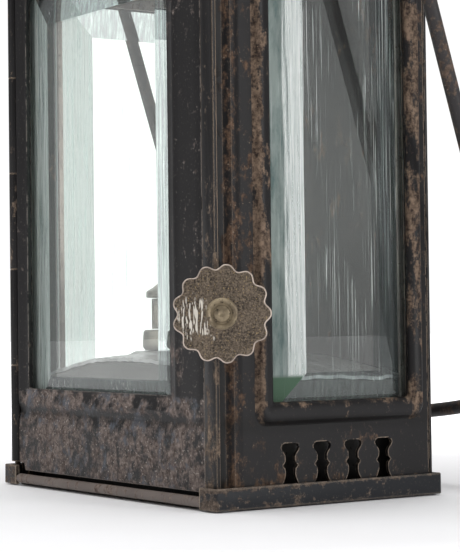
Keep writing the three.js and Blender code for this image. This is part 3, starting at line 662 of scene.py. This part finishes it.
def wovenCotton():
    # flat-woven lamp wick, charred at the top
    material, tree, shader, _ = blankMaterial("wovenCotton")
    weft = addNode(tree, "ShaderNodeTexWave", {"Vector": millimetres(tree), "Scale": 0.35, "Distortion": 1.5,
                                               "Detail": 2.0}, bands_direction="Z")
    warp = addNode(tree, "ShaderNodeTexWave", {"Vector": millimetres(tree), "Scale": 0.3, "Distortion": 1.0},
                   bands_direction="DIAGONAL")
    weave = reckon(tree, "MULTIPLY", weft.outputs[1], warp.outputs[1])
    upright = addNode(tree, "ShaderNodeSeparateXYZ", {0: millimetres(tree)})
    top = corners("wick")[1].z
    char = ranged(tree, upright.outputs["Z"], top - 4, top - 1)
    skin = blendColour(tree, weave, colour("#9c8f74"), colour("#d2c6aa"))
    skin = blendColour(tree, char, skin, colour("#1c1713"))
    feed(tree, shader, "Base Color", skin)
    feed(tree, shader, "Roughness", 0.95)
    embossed(tree, shader, weave, 0.8, 0.3)
    return material


frontEdge = cabinet["front"]
plinthTop = 33.4
door = {"stileRight": 20.0, "stileLeft": 5.6, "sill": 33.4, "head": 6.0, "roll": 5.0, "rollDepth": 0.9,
        "groove": 25.4, "grooveDepth": 0.8, "grooveHalf": 2.2, "footCut": 7.7}

# the side wall's grime zones paint shade into the recess by the front edge and a shadow under the window
# frame
sideTin = agedTin("japannedTinSide", rustSoft=0.14, mottle=3.4, stretch=1.6,
                  zones=(("Y", frontEdge + 4.0, frontEdge + 7.6, 0.9, 0.13),
                         ("Y", frontEdge + 7, frontEdge + 15, 2, 0.04),
                         ("Z", 45, 190, 25, 0.05), ("Z", 0, 9.5, 1.5, 0.07)),
                  grime=(("Y", frontEdge - 1, frontEdge + 3.9, 0.5, 0.9), ("Z", 22.4, 27.5, 1.2, 0.55)))
backTin = agedTin("japannedTinBack")
# grime darkens the band below the frame's bottom bar: a painted shadow
frameTin = agedTin("japannedTinWindowFrame", rustFrom=0.58, edge=0.9, edgeShare=0.9, rustPale="#84705f",
                   bare="#8b7868", grime=(("Z", 22, 26.6, 0.8, 0.6),),
                   zones=(("Y", frontEdge + 13.2, frontEdge + 16.6, 0.9, 0.2),
                          ("Y", frontEdge + 72.6, frontEdge + 79, 1.0, 0.13),
                          ("Z", 29.6, 32.4, 0.8, 0.12), ("Z", 60, 190, 30, 0.03)))
# grime darkens the pressed groove across the door's foot: painted shade
doorTin = agedTin("japannedTinDoor", rust="#453a35", rustPale="#827670", bare="#aba29b",
                  mottle=4.6, stretch=1.2, rustSoft=0.16, speckFrom=0.64, bloomShare=0.8, bloom="#555b64",
                  grime=(("Z", door["groove"] - 1.3, door["groove"] + 1.5, 0.9, 0.45),),
                  zones=(("Z", -5, plinthTop - 7.5, 1.2, 0.2),
                         ("Z", plinthTop - 6.5, plinthTop - 0.4, 0.6, 0.17)))
jambTin = agedTin("japannedTinCorner", rust="#3a2f29", rustPale="#8a7867", bare="#a3907c", edge=0.6,
                  edgeShare=1.35, rustFrom=0.56, mottle=3.0, rustSoft=0.13, zones=(("Z", -5, 40, 25, 0.05),))
bandTin = agedTin("japannedTinFoot", lacquer="#16181c", lacquerPale="#24262a", rust="#372e29",
                  rustPale="#73655a", bare="#b3a595", edge=1.0, edgeShare=1.15, rustFrom=0.6, mottle=2.6,
                  stretch=0.8, zones=(("Z", 6.0, 9, 0.5, 0.16), ("Z", -1, 2.2, 1.0, 0.07),
                                      ("Y", -60, frontEdge - 1.2, 0.6, 0.12)))
beadTin = agedTin("rubbedTinBead", lacquer="#5a504c", lacquerPale="#847a74", rust="#4a3d36",
                  rustPale="#8a7c73", bare="#a99c92", rustFrom=0.5, mottle=3.0, satin=0.42)
roofTin = agedTin("japannedTinRoof", rustFrom=0.58)
bailIron = agedTin("rustedIronRod", lacquer="#262629", lacquerPale="#3f3b3a", rust="#3f342e",
                   rustPale="#6a594d", bare="#8a7f77", rustFrom=0.5, mottle=3.2, stretch=1.4, satin=0.45)
clearGlass = plateGlass("plateGlassPolished", 0.0, "#c3cfc9")
plainGlass = plateGlass("plateGlassUnmarked", 0.0, "#c3cfc9", scratched=False)
groundGlass = plateGlass("plateGlassBevelPale", 0.6, "#d3dbd7")
# the right pane's front bevel: dull and cloudy teal towards the front, with painted green light at its lower
# mitre
cloudyBevelPaintedLight = plateGlass("plateGlassBevelCloudyPaintedLight", 0.6, "#dbe2de", paintedLightBelow=(38.4, 39.6),
                          dullBefore=(-15, -11.5))
greyGlass = plateGlass("plateGlassBevelGrey", 0.1, "#8a8a8e")
pewter = wheelPewter()
# pale pewter for the thumbwheel's rounded rim faces: a painted highlight
rimHighlightPewter = dulledMetal("pewterRimPaintedHighlight", "#a3958a", "#dacabd", "#6a5f52", 0.35, 0.5)
hubBrass = dulledMetal("thumbwheelHubBrass", "#564b3e", "#a39479", "#2b251e", 0.4, 0.6)
burnerBrass = dulledMetal("dulledBrassBurner", "#5a564f", "#989288", "#3a352e", 0.42)
tankTin = dulledMetal("tinnedSheetTank", "#2b2a29", "#484644", "#1d1a17", 0.5, 0.5)
fontTin = dulledMetal("tinnedSheetFont", "#6c6b6c", "#a5a4a5", "#56504a", 0.38)
ironPin = dulledMetal("ironPin", "#3a332d", "#6a5f55", "#241f1b", 0.5)
retainerTin = dulledMetal("tinnedStripRetainer", "#857872", "#bfafa8", "#6a584e", 0.4, 0.5)
cotton = wovenCotton()
print("materials ready")


viewPoint = {"place": (510.5, -344.2, 56.5), "bearing": 55.4, "pitch": 1.33, "roll": 0.69, "lens": 120.4}


def makeCamera():
    bearing, pitch, roll = (math.radians(viewPoint[k]) for k in ("bearing", "pitch", "roll"))
    east, north = math.cos(bearing), math.sin(bearing)
    level = Vector((east, north, 0))
    ahead = Vector((-north * math.cos(pitch), east * math.cos(pitch), math.sin(pitch)))
    upright = level.cross(ahead)
    across = level * math.cos(roll) - upright * math.sin(roll)
    up = upright * math.cos(roll) + level * math.sin(roll)
    data = bpy.data.cameras.new("camera")
    data.lens = viewPoint["lens"]
    data.clip_start, data.clip_end = 0.01, 20
    camera = bpy.data.objects.new("camera", data)
    camera.matrix_world = Matrix.Translation(Vector(viewPoint["place"]) * mm) @ \
        Matrix((across, up, -ahead)).transposed().to_4x4()
    bpy.context.scene.collection.objects.link(camera)
    bpy.context.scene.camera = camera


studioSky = {"seen": 1.05, "through": 1.6, "diffuse": 0.45, "glossy": 0.36}


def rayStrength(tree):
    # white when seen straight or through glass, and dimmer in reflections
    rays = addNode(tree, "ShaderNodeLightPath")
    glossy = ranged(tree, rays.outputs["Is Glossy Ray"], 0.0, 1.0, studioSky["diffuse"], studioSky["glossy"])
    seen = reckon(tree, "MULTIPLY", rays.outputs["Is Camera Ray"], studioSky["seen"])
    through = reckon(tree, "MULTIPLY", rays.outputs["Is Transmission Ray"], studioSky["through"])
    return reckon(tree, "MAXIMUM", glossy, reckon(tree, "MAXIMUM", seen, through))


def makeFloor():
    size, drop = 4000, -0.02
    points = [(-size, -size, drop), (size, -size, drop), (size, size, drop), (-size, size, drop)]
    floor = makePiece("studio_floor", points, [(0, 1, 2, 3)])
    material, tree, shader, _ = blankMaterial("whitePaperSweep")
    tooth = noiseOf(tree, millimetres(tree), 40.0, 2.0, 0.5)
    paper = blendColour(tree, tooth, colour("#f4f3f4"), colour("#f8f8fa"))
    feed(tree, shader, "Base Color", paper)
    feed(tree, shader, "Roughness", 0.7)
    feed(tree, shader, "Specular IOR Level", 0.2)
    feed(tree, shader, "Emission Color", colour("#ffffff"))
    reach = reckonVector(tree, "LENGTH", {0: millimetres(tree)}, "Value")
    far = ranged(tree, reach, 160, 560)
    feed(tree, shader, "Emission Strength", reckon(tree, "MULTIPLY", far, rayStrength(tree)))
    floor.data.materials.append(material)


lamps = {
    # name: place, aim, width, height, watts
    "overhead": ((-100, -50, 900), (0, 0, 60), 1000, 1000, 8.0),
    "frontStrip": ((-150, -1000, 380), (0, -40, 80), 240, 800, 0.9),
    "sideStrip": ((960, 325, 160), (62, -15, 100), 190, 900, 4.2),
}


def makeLights():
    for name, (place, aim, width, height, watts) in lamps.items():
        data = bpy.data.lights.new(name, "AREA")
        data.shape = "RECTANGLE"
        data.size, data.size_y = width * mm, height * mm
        data.energy = watts
        lamp = bpy.data.objects.new(name, data)
        away = (Vector(aim) - Vector(place)).normalized()
        turn = away.to_track_quat("-Z", "Y").to_matrix().to_4x4()
        lamp.matrix_world = Matrix.Translation(Vector(place) * mm) @ turn
        lamp.visible_camera = False
        bpy.context.scene.collection.objects.link(lamp)
    world = bpy.data.worlds.new("studio")
    world.use_nodes = True
    tree = world.node_tree
    tree.nodes.clear()
    strength = rayStrength(tree)
    sky = addNode(tree, "ShaderNodeBackground", {"Color": (1, 1, 1, 1), "Strength": strength})
    addNode(tree, "ShaderNodeOutputWorld", {"Surface": sky.outputs[0]})
    bpy.context.scene.world = world
    bpy.context.scene.view_settings.view_transform = "Standard"


makeCamera()
makeFloor()
makeLights()
print("camera, floor and light ready")


# side walls with their pierced vents and moulded window frames
sideWall = {"bar": 6.0, "sill": 4.9, "head": 5.0, "recess": 1.6, "ridge": 0.4, "recessEnd": 4.4, "step": 1.4,
            "dent": 0.16}
vent = {"count": 4, "pitch": 12.0, "first": 26.7, "width": 6.8, "height": 13.4, "top": 19.0}


def ventOutline():
    # a spool: a round cap, a waist with a small point halfway, and a flared foot
    half, height = vent["width"] / 2, vent["height"]
    waist, swell, cap = half * 0.52, half * 0.8, half * 0.9
    side = [(half * 0.62, height), (cap, height * 0.965), (half, height * 0.9), (cap, height * 0.84)]
    for k in range(1, 8):
        t = k / 8
        side.append((cap + (waist - cap) * math.sin(t * math.pi / 2), height * (0.84 - 0.16 * t)))
    side += [(waist, height * 0.66), (waist * 1.08, height * 0.58), (swell, height * 0.515),
             (swell, height * 0.49), (waist * 1.1, height * 0.43), (waist, height * 0.34)]
    for k in range(1, 7):
        t = k / 6
        side.append((waist + (half - waist) * (1 - math.cos(t * math.pi / 2)), height * (0.34 - 0.3 * t)))
    side.append((half, 0))
    return side + [(-u, v) for u, v in reversed(side)]


def outlineSlab(name, outline, place, low, high):
    points = [place(u, v, low) for u, v in outline] + [place(u, v, high) for u, v in outline]
    size = len(outline)
    floor, roof = list(range(size)), list(range(size, 2 * size))
    return makePiece(name, points, [floor[::-1], roof, *ringFaces(floor, roof)])


def windowOpening():
    low, high = corners("right_window_frame")
    return (low.y + sideWall["bar"], high.y - sideWall["bar"],
            low.z + sideWall["sill"], high.z - sideWall["head"])


def wallRelief(y, z):
    start = frontEdge + sideWall["recessEnd"]
    rise = smoothStep(y, start, start + sideWall["step"] * 1.3)
    fall = smoothStep(y, start + 2 * sideWall["step"], start + 3.6 * sideWall["step"])
    ridge = -sideWall["recess"] + (sideWall["recess"] + sideWall["ridge"]) * rise - sideWall["ridge"] * fall
    calm = smoothStep(y, start + 6, start + 14)
    return ridge - abs(dents(y, z, 22, sideWall["dent"])) * calm


def makeSideWall(node, side, tree):
    low, high = corners(node)
    opening = windowOpening()
    near = [frontEdge + sideWall["recessEnd"] + k * 0.45 for k in range(14)]
    us = sorted(set(cuts(low.y, high.y, 4.5, (opening[0], opening[1])) + [u for u in near if u > low.y]))
    vs = cuts(low.z, high.z, 6.0, (opening[2], opening[3]))
    place = lambda y, z, out: (side * (cabinet["right"] + out), y, z)
    wall = gridPlate(node + "_pressed", us, vs, opening, wallRelief,
                     lambda y, z: wallRelief(y, z) - cabinet["sheet"], place)
    cutter = outlineSlab("ventPunch", ventOutline(), place, -6, 6)
    settings = {"Shape": cutter, "Count": vent["count"], "Pitch": (0, vent["pitch"] * mm, 0),
                "Start": (0, (frontEdge + vent["first"]) * mm, (vent["top"] - vent["height"]) * mm),
                "Turn": 0.0, "Material": sideTin}
    applyTree(wall, tree, settings)
    bpy.data.objects.remove(cutter)
    return finishPiece(wall, sideTin, stands=[node], angle=30)


def makeWindowFrame(node, side):
    low, high = corners(node)
    opening = windowOpening()
    outer = (low.y - 1.2, high.y + 0.8, low.z - 3.4, high.z + 0.8)
    profile = [(0, -0.9), (0.1, -0.35), (0.17, 0.1), (0.22, 0.45), (0.27, 1.0), (0.31, 1.6), (0.36, 2.0),
               (0.44, 2.2), (0.6, 2.18), (0.76, 2.02), (0.88, 1.7), (0.96, 1.2), (1.0, 0.6), (1.0, -0.4)]
    place = lambda y, z, out: (side * (cabinet["right"] + out), y, z)
    moulding = mouldedFrame(node + "_moulding", outer, opening, (4.6, 0.9), profile, place)
    return finishPiece(moulding, frameTin, stands=[node], angle=60)


ventTree = rowTree("piercedRow", True)
for name, side in (("right", 1), ("left", -1)):
    makeSideWall(name + "_side_wall", side, ventTree)
    makeWindowFrame(name + "_window_frame", side)
print("side walls ready")


# the band round three sides of the foot, and the bead under the door
foot = {"thick": 1.5, "return": 8.5, "corner": 1.3, "easing": 0.45, "dentSize": 14, "dent": 0.12}
bead = {"steps": 60, "sides": 24, "shy": 0.1, "swaySize": 17, "sway": 0.08, "sagSize": 21, "sag": 0.1}


def makeFootBand():
    low, high = corners("foot_band")
    thick = foot["thick"]
    end = high.x - foot["return"]
    plan = [(end, low.y), (high.x, low.y), (high.x, high.y)]
    plan += [(-x, y) for x, y in reversed(plan)]
    path = eased(plan, foot["corner"], 5, closed=False)
    section = eased([(0, low.z), (0, high.z), (-thick, high.z), (-thick, low.z)], foot["easing"], 3)
    points, rings = [], []
    count = len(path)
    for i, here in enumerate(path):
        ahead, behind = path[min(i + 1, count - 1)], path[max(i - 1, 0)]
        along = (ahead - behind).normalized()
        out = Vector((along.y, -along.x))
        rings.append(range(len(points), len(points) + len(section)))
        for offset, z in section:
            wobble = dents(here.x + here.y, z, foot["dentSize"], foot["dent"])
            spot = here + out * (offset - abs(wobble))
            points.append((spot.x, spot.y, z))
    faces = []
    for first, second in zip(rings, rings[1:]):
        faces.extend(ringFaces(first, second))
    faces.append(list(rings[0])[::-1])
    faces.append(list(rings[-1]))
    band = makePiece("foot_band_rolled", points, faces)
    return finishPiece(band, bandTin, stands=["foot_band"], angle=50)


def makeFrontBead():
    low, high = corners("front_bead")
    radius = (high.z - low.z) / 2
    middle = ((low.y + high.y) / 2, (low.z + high.z) / 2)
    path = []
    for k in range(bead["steps"] + 1):
        x = low.x + (high.x - low.x) * k / bead["steps"]
        sway = dents(x, 0, bead["swaySize"], bead["sway"])
        sag = dents(x, 9, bead["sagSize"], bead["sag"])
        path.append((x, middle[0] + sway, middle[1] + sag))
    rod = swept("front_bead_rod", path, roundSection(radius - bead["shy"], bead["sides"]))
    return finishPiece(rod, beadTin, stands=["front_bead"], angle=50)


makeFootBand()
makeFrontBead()
easedCopy("base_plate", "sheet", 0.3, backTin)
easedCopy("back_panel", "sheet", 0.3, backTin)
print("foot ready")


# the hinge's rolled knuckles
barrel = {"radius": 2.1, "bore": 1.3, "gap": 0.4, "foot": 8, "count": 5, "slack": 0.04, "edge": 0.12}


def makeDoor():
    low, high = corners("door_frame")
    axis = Vector(joints["door_hinge"]["pos_m"]) / mm
    doorLeft = axis.x + barrel["radius"] + barrel["gap"]
    opening = (doorLeft + door["stileLeft"], high.x - door["stileRight"], door["sill"], high.z - door["head"])
    thick = 3.0

    def relief(x, z):
        edge = max(opening[0] - x, x - opening[1], opening[2] - z, z - opening[3])
        roll = (1 - smoothStep(edge, 0, door["roll"])) * door["rollDepth"]
        lip = 0.25 * math.exp(-((edge - door["roll"]) / 0.9) ** 2)
        groove = door["grooveDepth"] * math.exp(-((z - door["groove"]) / door["grooveHalf"]) ** 2)
        groove *= smoothStep(high.x - x, 4.5, 11)
        sides = min(x - doorLeft, high.x - x)
        return -(roll + groove) + lip - 0.25 - abs(dents(x, z, 19, 0.12)) * smoothStep(sides, 0, 5)

    us = cuts(doorLeft, high.x, 4.0, (opening[0], opening[1]))
    us += [opening[0] - 0.7 * k for k in range(1, 8)] + [opening[1] + 0.7 * k for k in range(1, 10)]
    vs = cuts(low.z, high.z, 5.0, (opening[2], opening[3]))
    vs += [opening[2] - 0.7 * k for k in range(1, 18)] + [opening[3] + 0.7 * k for k in range(1, 8)]
    us = sorted({round(u, 3) for u in us if doorLeft <= u <= high.x})
    vs = sorted({round(v, 3) for v in vs if low.z <= v <= high.z})
    hole = tuple(round(v, 3) for v in opening)
    # the foot by the hinge is cut up clear of the foot band, which it would meet as the door opens
    raised = lambda x, z: max(z, door["footCut"]) if x < doorLeft + 3.6 else z
    place = lambda x, z, out: (x, frontEdge - out, raised(x, z))
    plate = gridPlate("door_pressed", us, vs, hole, relief, lambda x, z: -thick, place)
    softenEdges(plate, 0.35, 2, 50)
    finishPiece(plate, doorTin, "door", ["door_frame"], 40)
    pitch = (high.z - barrel["foot"]) / barrel["count"]
    for index in range(barrel["count"]):
        start = barrel["foot"] + index * pitch + barrel["slack"]
        end = barrel["foot"] + (index + 1) * pitch - barrel["slack"]
        outline = eased([(barrel["bore"], start), (barrel["radius"], start), (barrel["radius"], end),
                         (barrel["bore"], end)], barrel["edge"], 2)
        knuckle = turned(f"hinge_knuckle_{index + 1}", [tuple(p) for p in outline], 28,
                         Matrix.Translation((axis.x, axis.y, 0)))
        finishPiece(knuckle, jambTin, "door" if index % 2 else "lantern_body")


makeDoor()
easedCopy("right_jamb", "folded", 0.35, jambTin, segments=3)
easedCopy("left_jamb", "folded", 0.2, jambTin)
easedCopy("turn_button", "strip", 0.25, bandTin, "button")
print("door ready")


def makePane(node, body):
    pane = refined(node, node + "_plate", 0.12, 1)
    nearPane = node == "right_glass"
    finishPiece(pane, clearGlass if nearPane else plainGlass, body, [node], 1)
    pane.data.materials.append(cloudyBevelPaintedLight if nearPane else groundGlass)
    pane.data.materials.append(greyGlass)
    low, high = corners(node)
    thin = min(range(3), key=lambda k: high[k] - low[k])
    for face in pane.data.polygons:
        out = face.normal
        if 0.003 < 1 - abs(out[thin]) < 0.3:
            across = max((k for k in range(3) if k != thin), key=lambda k: abs(out[k]))
            nearHinge = across != 2 and out[across] < 0
            face.material_index = 1 if nearHinge else 2
        face.use_smooth = False


for node, body in (("right_glass", "lantern_body"), ("left_glass", "lantern_body"), ("door_glass", "door")):
    makePane(node, body)
for node, body in (("right_glass_retainer", "lantern_body"), ("left_glass_retainer", "lantern_body"),
                   ("door_glass_retainer", "door")):
    easedCopy(node, "strip", 0.15, retainerTin, body, 1)
print("glass ready")


# the thumbwheel and its spindle
wheel = {"lobes": 13, "radius": 14.5, "depth": 1.5}


def wheelPlace():
    # the wheel's own axes: across, up, and out along the spindle
    out = -Vector(joints["wick_turn"]["axis"])
    out.normalize()
    across = Vector((-out.y, out.x, 0))
    low, high = corners("thumbwheel")
    foot = Vector(joints["wick_turn"]["pos_m"]) / mm
    middle = (low + high) / 2
    run = (middle - foot).dot(out)
    return Matrix.Translation(foot) @ Matrix((across, Vector((0, 0, 1)), out)).transposed().to_4x4(), run


def makeWheel():
    place, _ = wheelPlace()
    cadPoints = [place.inverted() @ (v.co / mm) for v in frame["nodes"]["thumbwheel"].data.vertices]
    rim = [p for p in cadPoints if math.hypot(p.x, p.y) > 12]
    low, high = min(p.z for p in rim), max(p.z for p in rim)
    disc = makePiece("thumbwheel_disc", [(0, 0, 0)], [])
    applyTree(disc, lobedTree(), {
        "Lobes": wheel["lobes"], "Radius": wheel["radius"] * mm, "Depth": wheel["depth"] * mm,
        "Thickness": (high - low) * mm, "Material": pewter})
    softenEdges(disc, 0.4, 3, 50)
    for piece, base in ((disc, low), (makeHub(high), 0.0)):
        layer = piece.data.uv_layers.new(name="face")
        for loop in piece.data.loops:
            spot = piece.data.vertices[loop.vertex_index].co / mm
            layer.data[loop.index].uv = (spot.x / wheel["radius"], spot.y / wheel["radius"])
        lift = Matrix.Scale(mm, 4) @ place @ Matrix.Translation((0, 0, base)) @ Matrix.Scale(1 / mm, 4)
        piece.data.transform(lift)
        stands = ["thumbwheel"] if piece is disc else []
        finishPiece(piece, pewter if piece is disc else hubBrass, "wick_raiser", stands, 35)
    disc.data.materials.append(rimHighlightPewter)
    out = place.col[2].to_3d()
    # the rounded rim faces take the pale pewter, a painted highlight
    for face in disc.data.polygons:
        if 0.25 < face.normal.dot(out) < 0.97:
            face.material_index = 1


def makeHub(face):
    outline = [(0, -3.8), (3, -3.8), (3, -0.6), (4.7, -0.3), (4.6, 0.5), (4.1, 0.85), (3.5, 0.6), (3.0, 0.15),
               (2.6, 0.15), (2.3, 0.75), (1.7, 1.05), (1.0, 1.1), (0.6, 0.85), (0, 0.75)]
    return turned("thumbwheel_hub", [(r, face + z) for r, z in outline], 48)


makeWheel()
easedCopy("wick_spindle", "turned", 0.15, ironPin, "wick_raiser", 1)
for node in ("ratchet_inner", "ratchet_outer"):
    easedCopy(node, "turned", 0.15, burnerBrass, "wick_raiser", 1)
easedCopy("spindle_bush", "tube", 0.2, burnerBrass)
easedCopy("door_hinge_pin", "wire", 0.15, ironPin)
print("thumbwheel ready")


# the bail and its ears
bail = {"radius": 2.3, "middle": 2.4, "tilt": 17.7, "sag": 9.0, "corner": 15.0, "drop": 1.5, "elbow": 6.0}


def bend(start, corner, end, steps=10):
    start, corner, end = Vector(start), Vector(corner), Vector(end)
    return [start * (1 - t) ** 2 + corner * 2 * t * (1 - t) + end * t * t for t in
            [k / steps for k in range(steps + 1)]]


def makeBail():
    low, high = corners("bail_handle")
    pivot = Vector(joints["bail_swing"]["pos_m"]) / mm
    tilt = math.radians(bail["tilt"])
    leg = high.x - bail["middle"]
    reach = (pivot.z - low.z - bail["middle"]) / math.cos(tilt)
    corner = -(reach - bail["sag"])
    inner = corners("bail_ear_right")[0].x - 1
    at = lambda x, z: (x, 0, z)
    half = [at(inner, 0)] + bend(at(leg - bail["elbow"], 0), at(leg, 0), at(leg, -bail["elbow"]))
    for drop in cuts(0, -corner - bail["corner"], 8)[1:]:
        if -drop < -bail["elbow"] - 2:
            half.append(at(leg, -drop))
    start = at(leg - bail["corner"], corner - bail["drop"])
    end = at(-start[0], start[2])
    half += bend(at(leg, corner + bail["corner"]), at(leg, corner), start)[1:]
    grip = bend(start, at(0, -2 * reach - corner + bail["drop"] + bail["drop"]), end, 30)
    mirrored = [(-p[0], 0, p[2]) for p in reversed(half)]
    path = half + grip[1:-1] + mirrored
    turn = Matrix.Translation(pivot) @ Matrix.Rotation(tilt, 4, "X")
    path = [turn @ Vector(p) for p in path]
    rod = swept("bail_rod", path, roundSection(bail["radius"], 20))
    return finishPiece(rod, bailIron, "bail", ["bail_handle"], 60)


def makeRivets():
    tree = rowTree("rivetRow", False)
    for name, side in (("right", 1), ("left", -1)):
        nodes = [f"ear_rivet_{name}_front", f"ear_rivet_{name}_rear"]
        low, high = corners(nodes[0])
        rear = corners(nodes[1])[0]
        spot = (low + high) / 2
        turn = Matrix.Rotation(side * math.pi / 2, 4, "Y")
        profile = [(0, -8.5), (1.2, -8.5), (1.2, -1.35), (2.2, -1.3), (2.15, -0.9), (1.7, -0.4), (1.0, -0.1),
                   (0, 0)]
        head = turned("rivetHead", profile, 24, turn)
        rivets = makePiece(f"ear_rivets_{name}", [(0, 0, 0)], [])
        tip = high.x if side > 0 else low.x
        applyTree(rivets, tree, {
            "Shape": head, "Count": 2, "Pitch": (0, (rear.y - low.y) * mm, 0),
            "Start": (tip * mm, spot.y * mm, spot.z * mm), "Turn": 0.0, "Material": ironPin})
        bpy.data.objects.remove(head)
        finishPiece(rivets, bailIron, stands=nodes)


makeBail()
makeRivets()
for node in ("bail_ear_right", "bail_ear_left"):
    easedCopy(node, "plate", 0.35, bandTin)
easedCopy("turn_button_rivet", "head", 0.2, bailIron)
print("bail ready")


# the cornice, roof and chimney
roof = {"inset": 2.6, "topShare": 0.42, "thick": 1.4, "edge": 1.2, "seat": 3.5}
chimney = {"flange": 1.5, "wall": 1.2, "punches": 8, "punchFoot": 10}


def sameSpot(x, y, z):
    return x, y, z


def makeCornice():
    low, high = corners("cornice")
    span = high.z - low.z
    outer = (low.x, high.x, low.y, high.y)
    inset, wide = roof["inset"], cabinet["right"]
    inner = (-wide + inset, wide - inset, frontEdge + inset, cabinet["back"] - inset)
    curve = [(1.0, 0), (0.62, 0), (0.5, 0.06), (0.4, 0.2), (0.24, 0.32), (0.1, 0.4), (0.02, 0.5), (0, 0.62),
             (0, 0.82), (0.03, 0.93), (0.1, 1.0), (1.0, 1.0)]
    profile = [(share, low.z + rise * span) for share, rise in curve]
    piece = mouldedFrame("cornice_moulding", outer, inner, (2.2, 1.0), profile, sameSpot)
    finishPiece(piece, roofTin, stands=["cornice"], angle=45)


def makeRoof():
    low, high = corners("roof_hip")
    flange = corners("chimney_tube")[1].x + 0.5
    outer = (low.x, high.x, low.y, high.y)
    thick, edge = roof["thick"], roof["edge"]
    top = tuple(side * roof["topShare"] for side in outer)
    bore = flange - roof["seat"]
    curve = []
    for k in range(13):
        t = k / 12
        curve.append((t, low.z + edge + (high.z - low.z - edge) * (t ** 1.12)))
    under = [(s + 0.03 * (1 - s), z - thick) for s, z in reversed(curve)]
    profile = [(0, low.z)] + curve + [(1.12, high.z), (1.12, high.z - thick)] + under + [(0.04, low.z)]
    piece = mouldedFrame("roof_hipped", outer, top, (1.2, 0.6), profile, sameSpot)
    finishPiece(piece, roofTin, stands=["roof_hip"], angle=25)
    ring = [(bore, high.z - thick), (flange - 0.6, high.z - thick), (flange - 0.6, high.z), (bore, high.z)]
    finishPiece(turned("roof_chimney_seat", ring, 64), roofTin)


def makeChimney(tree):
    low, high = corners("chimney_tube")
    flange, radius = high.x, high.x - chimney["flange"]
    bore = radius - chimney["wall"]
    profile = eased([(bore, low.z), (flange, low.z), (flange, low.z + chimney["wall"]), (radius, low.z + 1.3),
                     (radius, high.z), (bore, high.z)], 0.4, 3)
    tube = turned("chimney_pierced", [tuple(p) for p in profile], 96)
    cutter = outlineSlab("chimneyPunch", ventOutline(), lambda u, v, out: (out, u, v), 8, 26)
    applyTree(tube, tree, {
        "Shape": cutter, "Count": chimney["punches"], "Pitch": (0, 0, 0),
        "Start": (0, 0, (low.z + chimney["punchFoot"]) * mm),
        "Turn": 2 * math.pi / chimney["punches"], "Material": roofTin})
    bpy.data.objects.remove(cutter)
    finishPiece(tube, roofTin, stands=["chimney_tube"], angle=30)
    base = corners("chimney_cap")[0].z
    rim = corners("chimney_cap")[1].x
    outline = [(0, 14.2), (8, 12.4), (14.5, 8.3), (rim - 1.4, 0.9), (rim - 1.4, 0.1), (rim - 0.7, 0),
               (rim, 0.3), (rim, 1.5), (rim - 1, 2.2), (20, 5.2), (15, 9.7), (9, 13.6), (5, 15.7),
               (4.1, 17.2), (4, 18.7), (5, 20.2), (5.5, 21.5), (5.0, 22.8), (3.4, 23.9), (1.5, 24.5),
               (0, 24.6)]
    cap = turned("chimney_cap_spun", [(r, base + z) for r, z in outline], 96)
    finishPiece(cap, roofTin, stands=["chimney_cap"], angle=50)


makeCornice()
makeRoof()
makeChimney(ventTree)
print("roof ready")


# the oil font, burner and wick
fontDome = ((75, 37.7), (60, 38.6), (48, 41.5), (37, 44), (25, 45.2), (24, 46.2))
fontRibs = {"count": 40, "height": 0.35, "thick": 1.1, "spacing": 1.3, "hole": 14}
neckFlutes = {"count": 24, "depth": 0.45, "low": 54.2, "high": 62.9}


def domeHeight(x, y):
    reach = math.hypot(x, y)
    if reach <= fontDome[-1][0]:
        return fontDome[-1][1]
    for (r1, z1), (r0, z0) in zip(fontDome, fontDome[1:]):
        if r0 <= reach <= r1:
            rib = fontRibs["height"] * (math.cos(fontRibs["count"] * math.atan2(y, x)) - 1) * 0.5
            return z0 + (z1 - z0) * (reach - r0) / (r1 - r0) + rib * smoothStep(reach, 26, 32)
    return fontDome[0][1]


def makeFont():
    low, high = corners("font_top")
    hole = (-fontRibs["hole"], fontRibs["hole"])
    us = cuts(low.x, high.x, fontRibs["spacing"], hole)
    vs = cuts(low.y, high.y, fontRibs["spacing"], hole)
    under = lambda x, y: domeHeight(x, y) - fontRibs["thick"]
    top = gridPlate("font_top_ribbed", us, vs, (*hole, *hole), domeHeight, under, sameSpot)
    finishPiece(top, fontTin, stands=["font_top"], angle=60)
    easedCopy("font_tank", "box", 0.3, tankTin)


def makeBurner():
    collar = [(16.7, 44), (16.7, 46.5), (20.6, 46.5), (21.2, 47.4), (21.4, 48.5), (21.2, 50), (21, 52.6),
              (20.4, 53.2), (15.5, 53.2), (15.5, 44)]
    piece = turned("burner_collar_spun", collar, 96)
    finishPiece(piece, burnerBrass, stands=["burner_collar"])
    neck = [(16.2, 53.5), (18.2, 53.5), (18.2, 54.1)]
    neck += [(18.2, 54.4 + 0.9 * k) for k in range(10)]
    neck += [(18.2, 63.1), (18.2, 63.5), (16.2, 63.5)]
    piece = turned("burner_neck_fluted", neck, 192)
    applyTree(piece, flutedTree(), {
        "Flutes": neckFlutes["count"], "Depth": neckFlutes["depth"] * mm, "Low": neckFlutes["low"] * mm,
        "High": neckFlutes["high"] * mm, "Material": burnerBrass})
    finishPiece(piece, burnerBrass, stands=["burner_neck"], angle=50)
    easedCopy("burner_cap", "spun", 0.3, burnerBrass)
    easedCopy("wick_tube", "folded", 0.2, burnerBrass)
    easedCopy("wick", "woven", 0.3, cotton, "wick_body")


makeFont()
makeBurner()
print("font and burner ready")
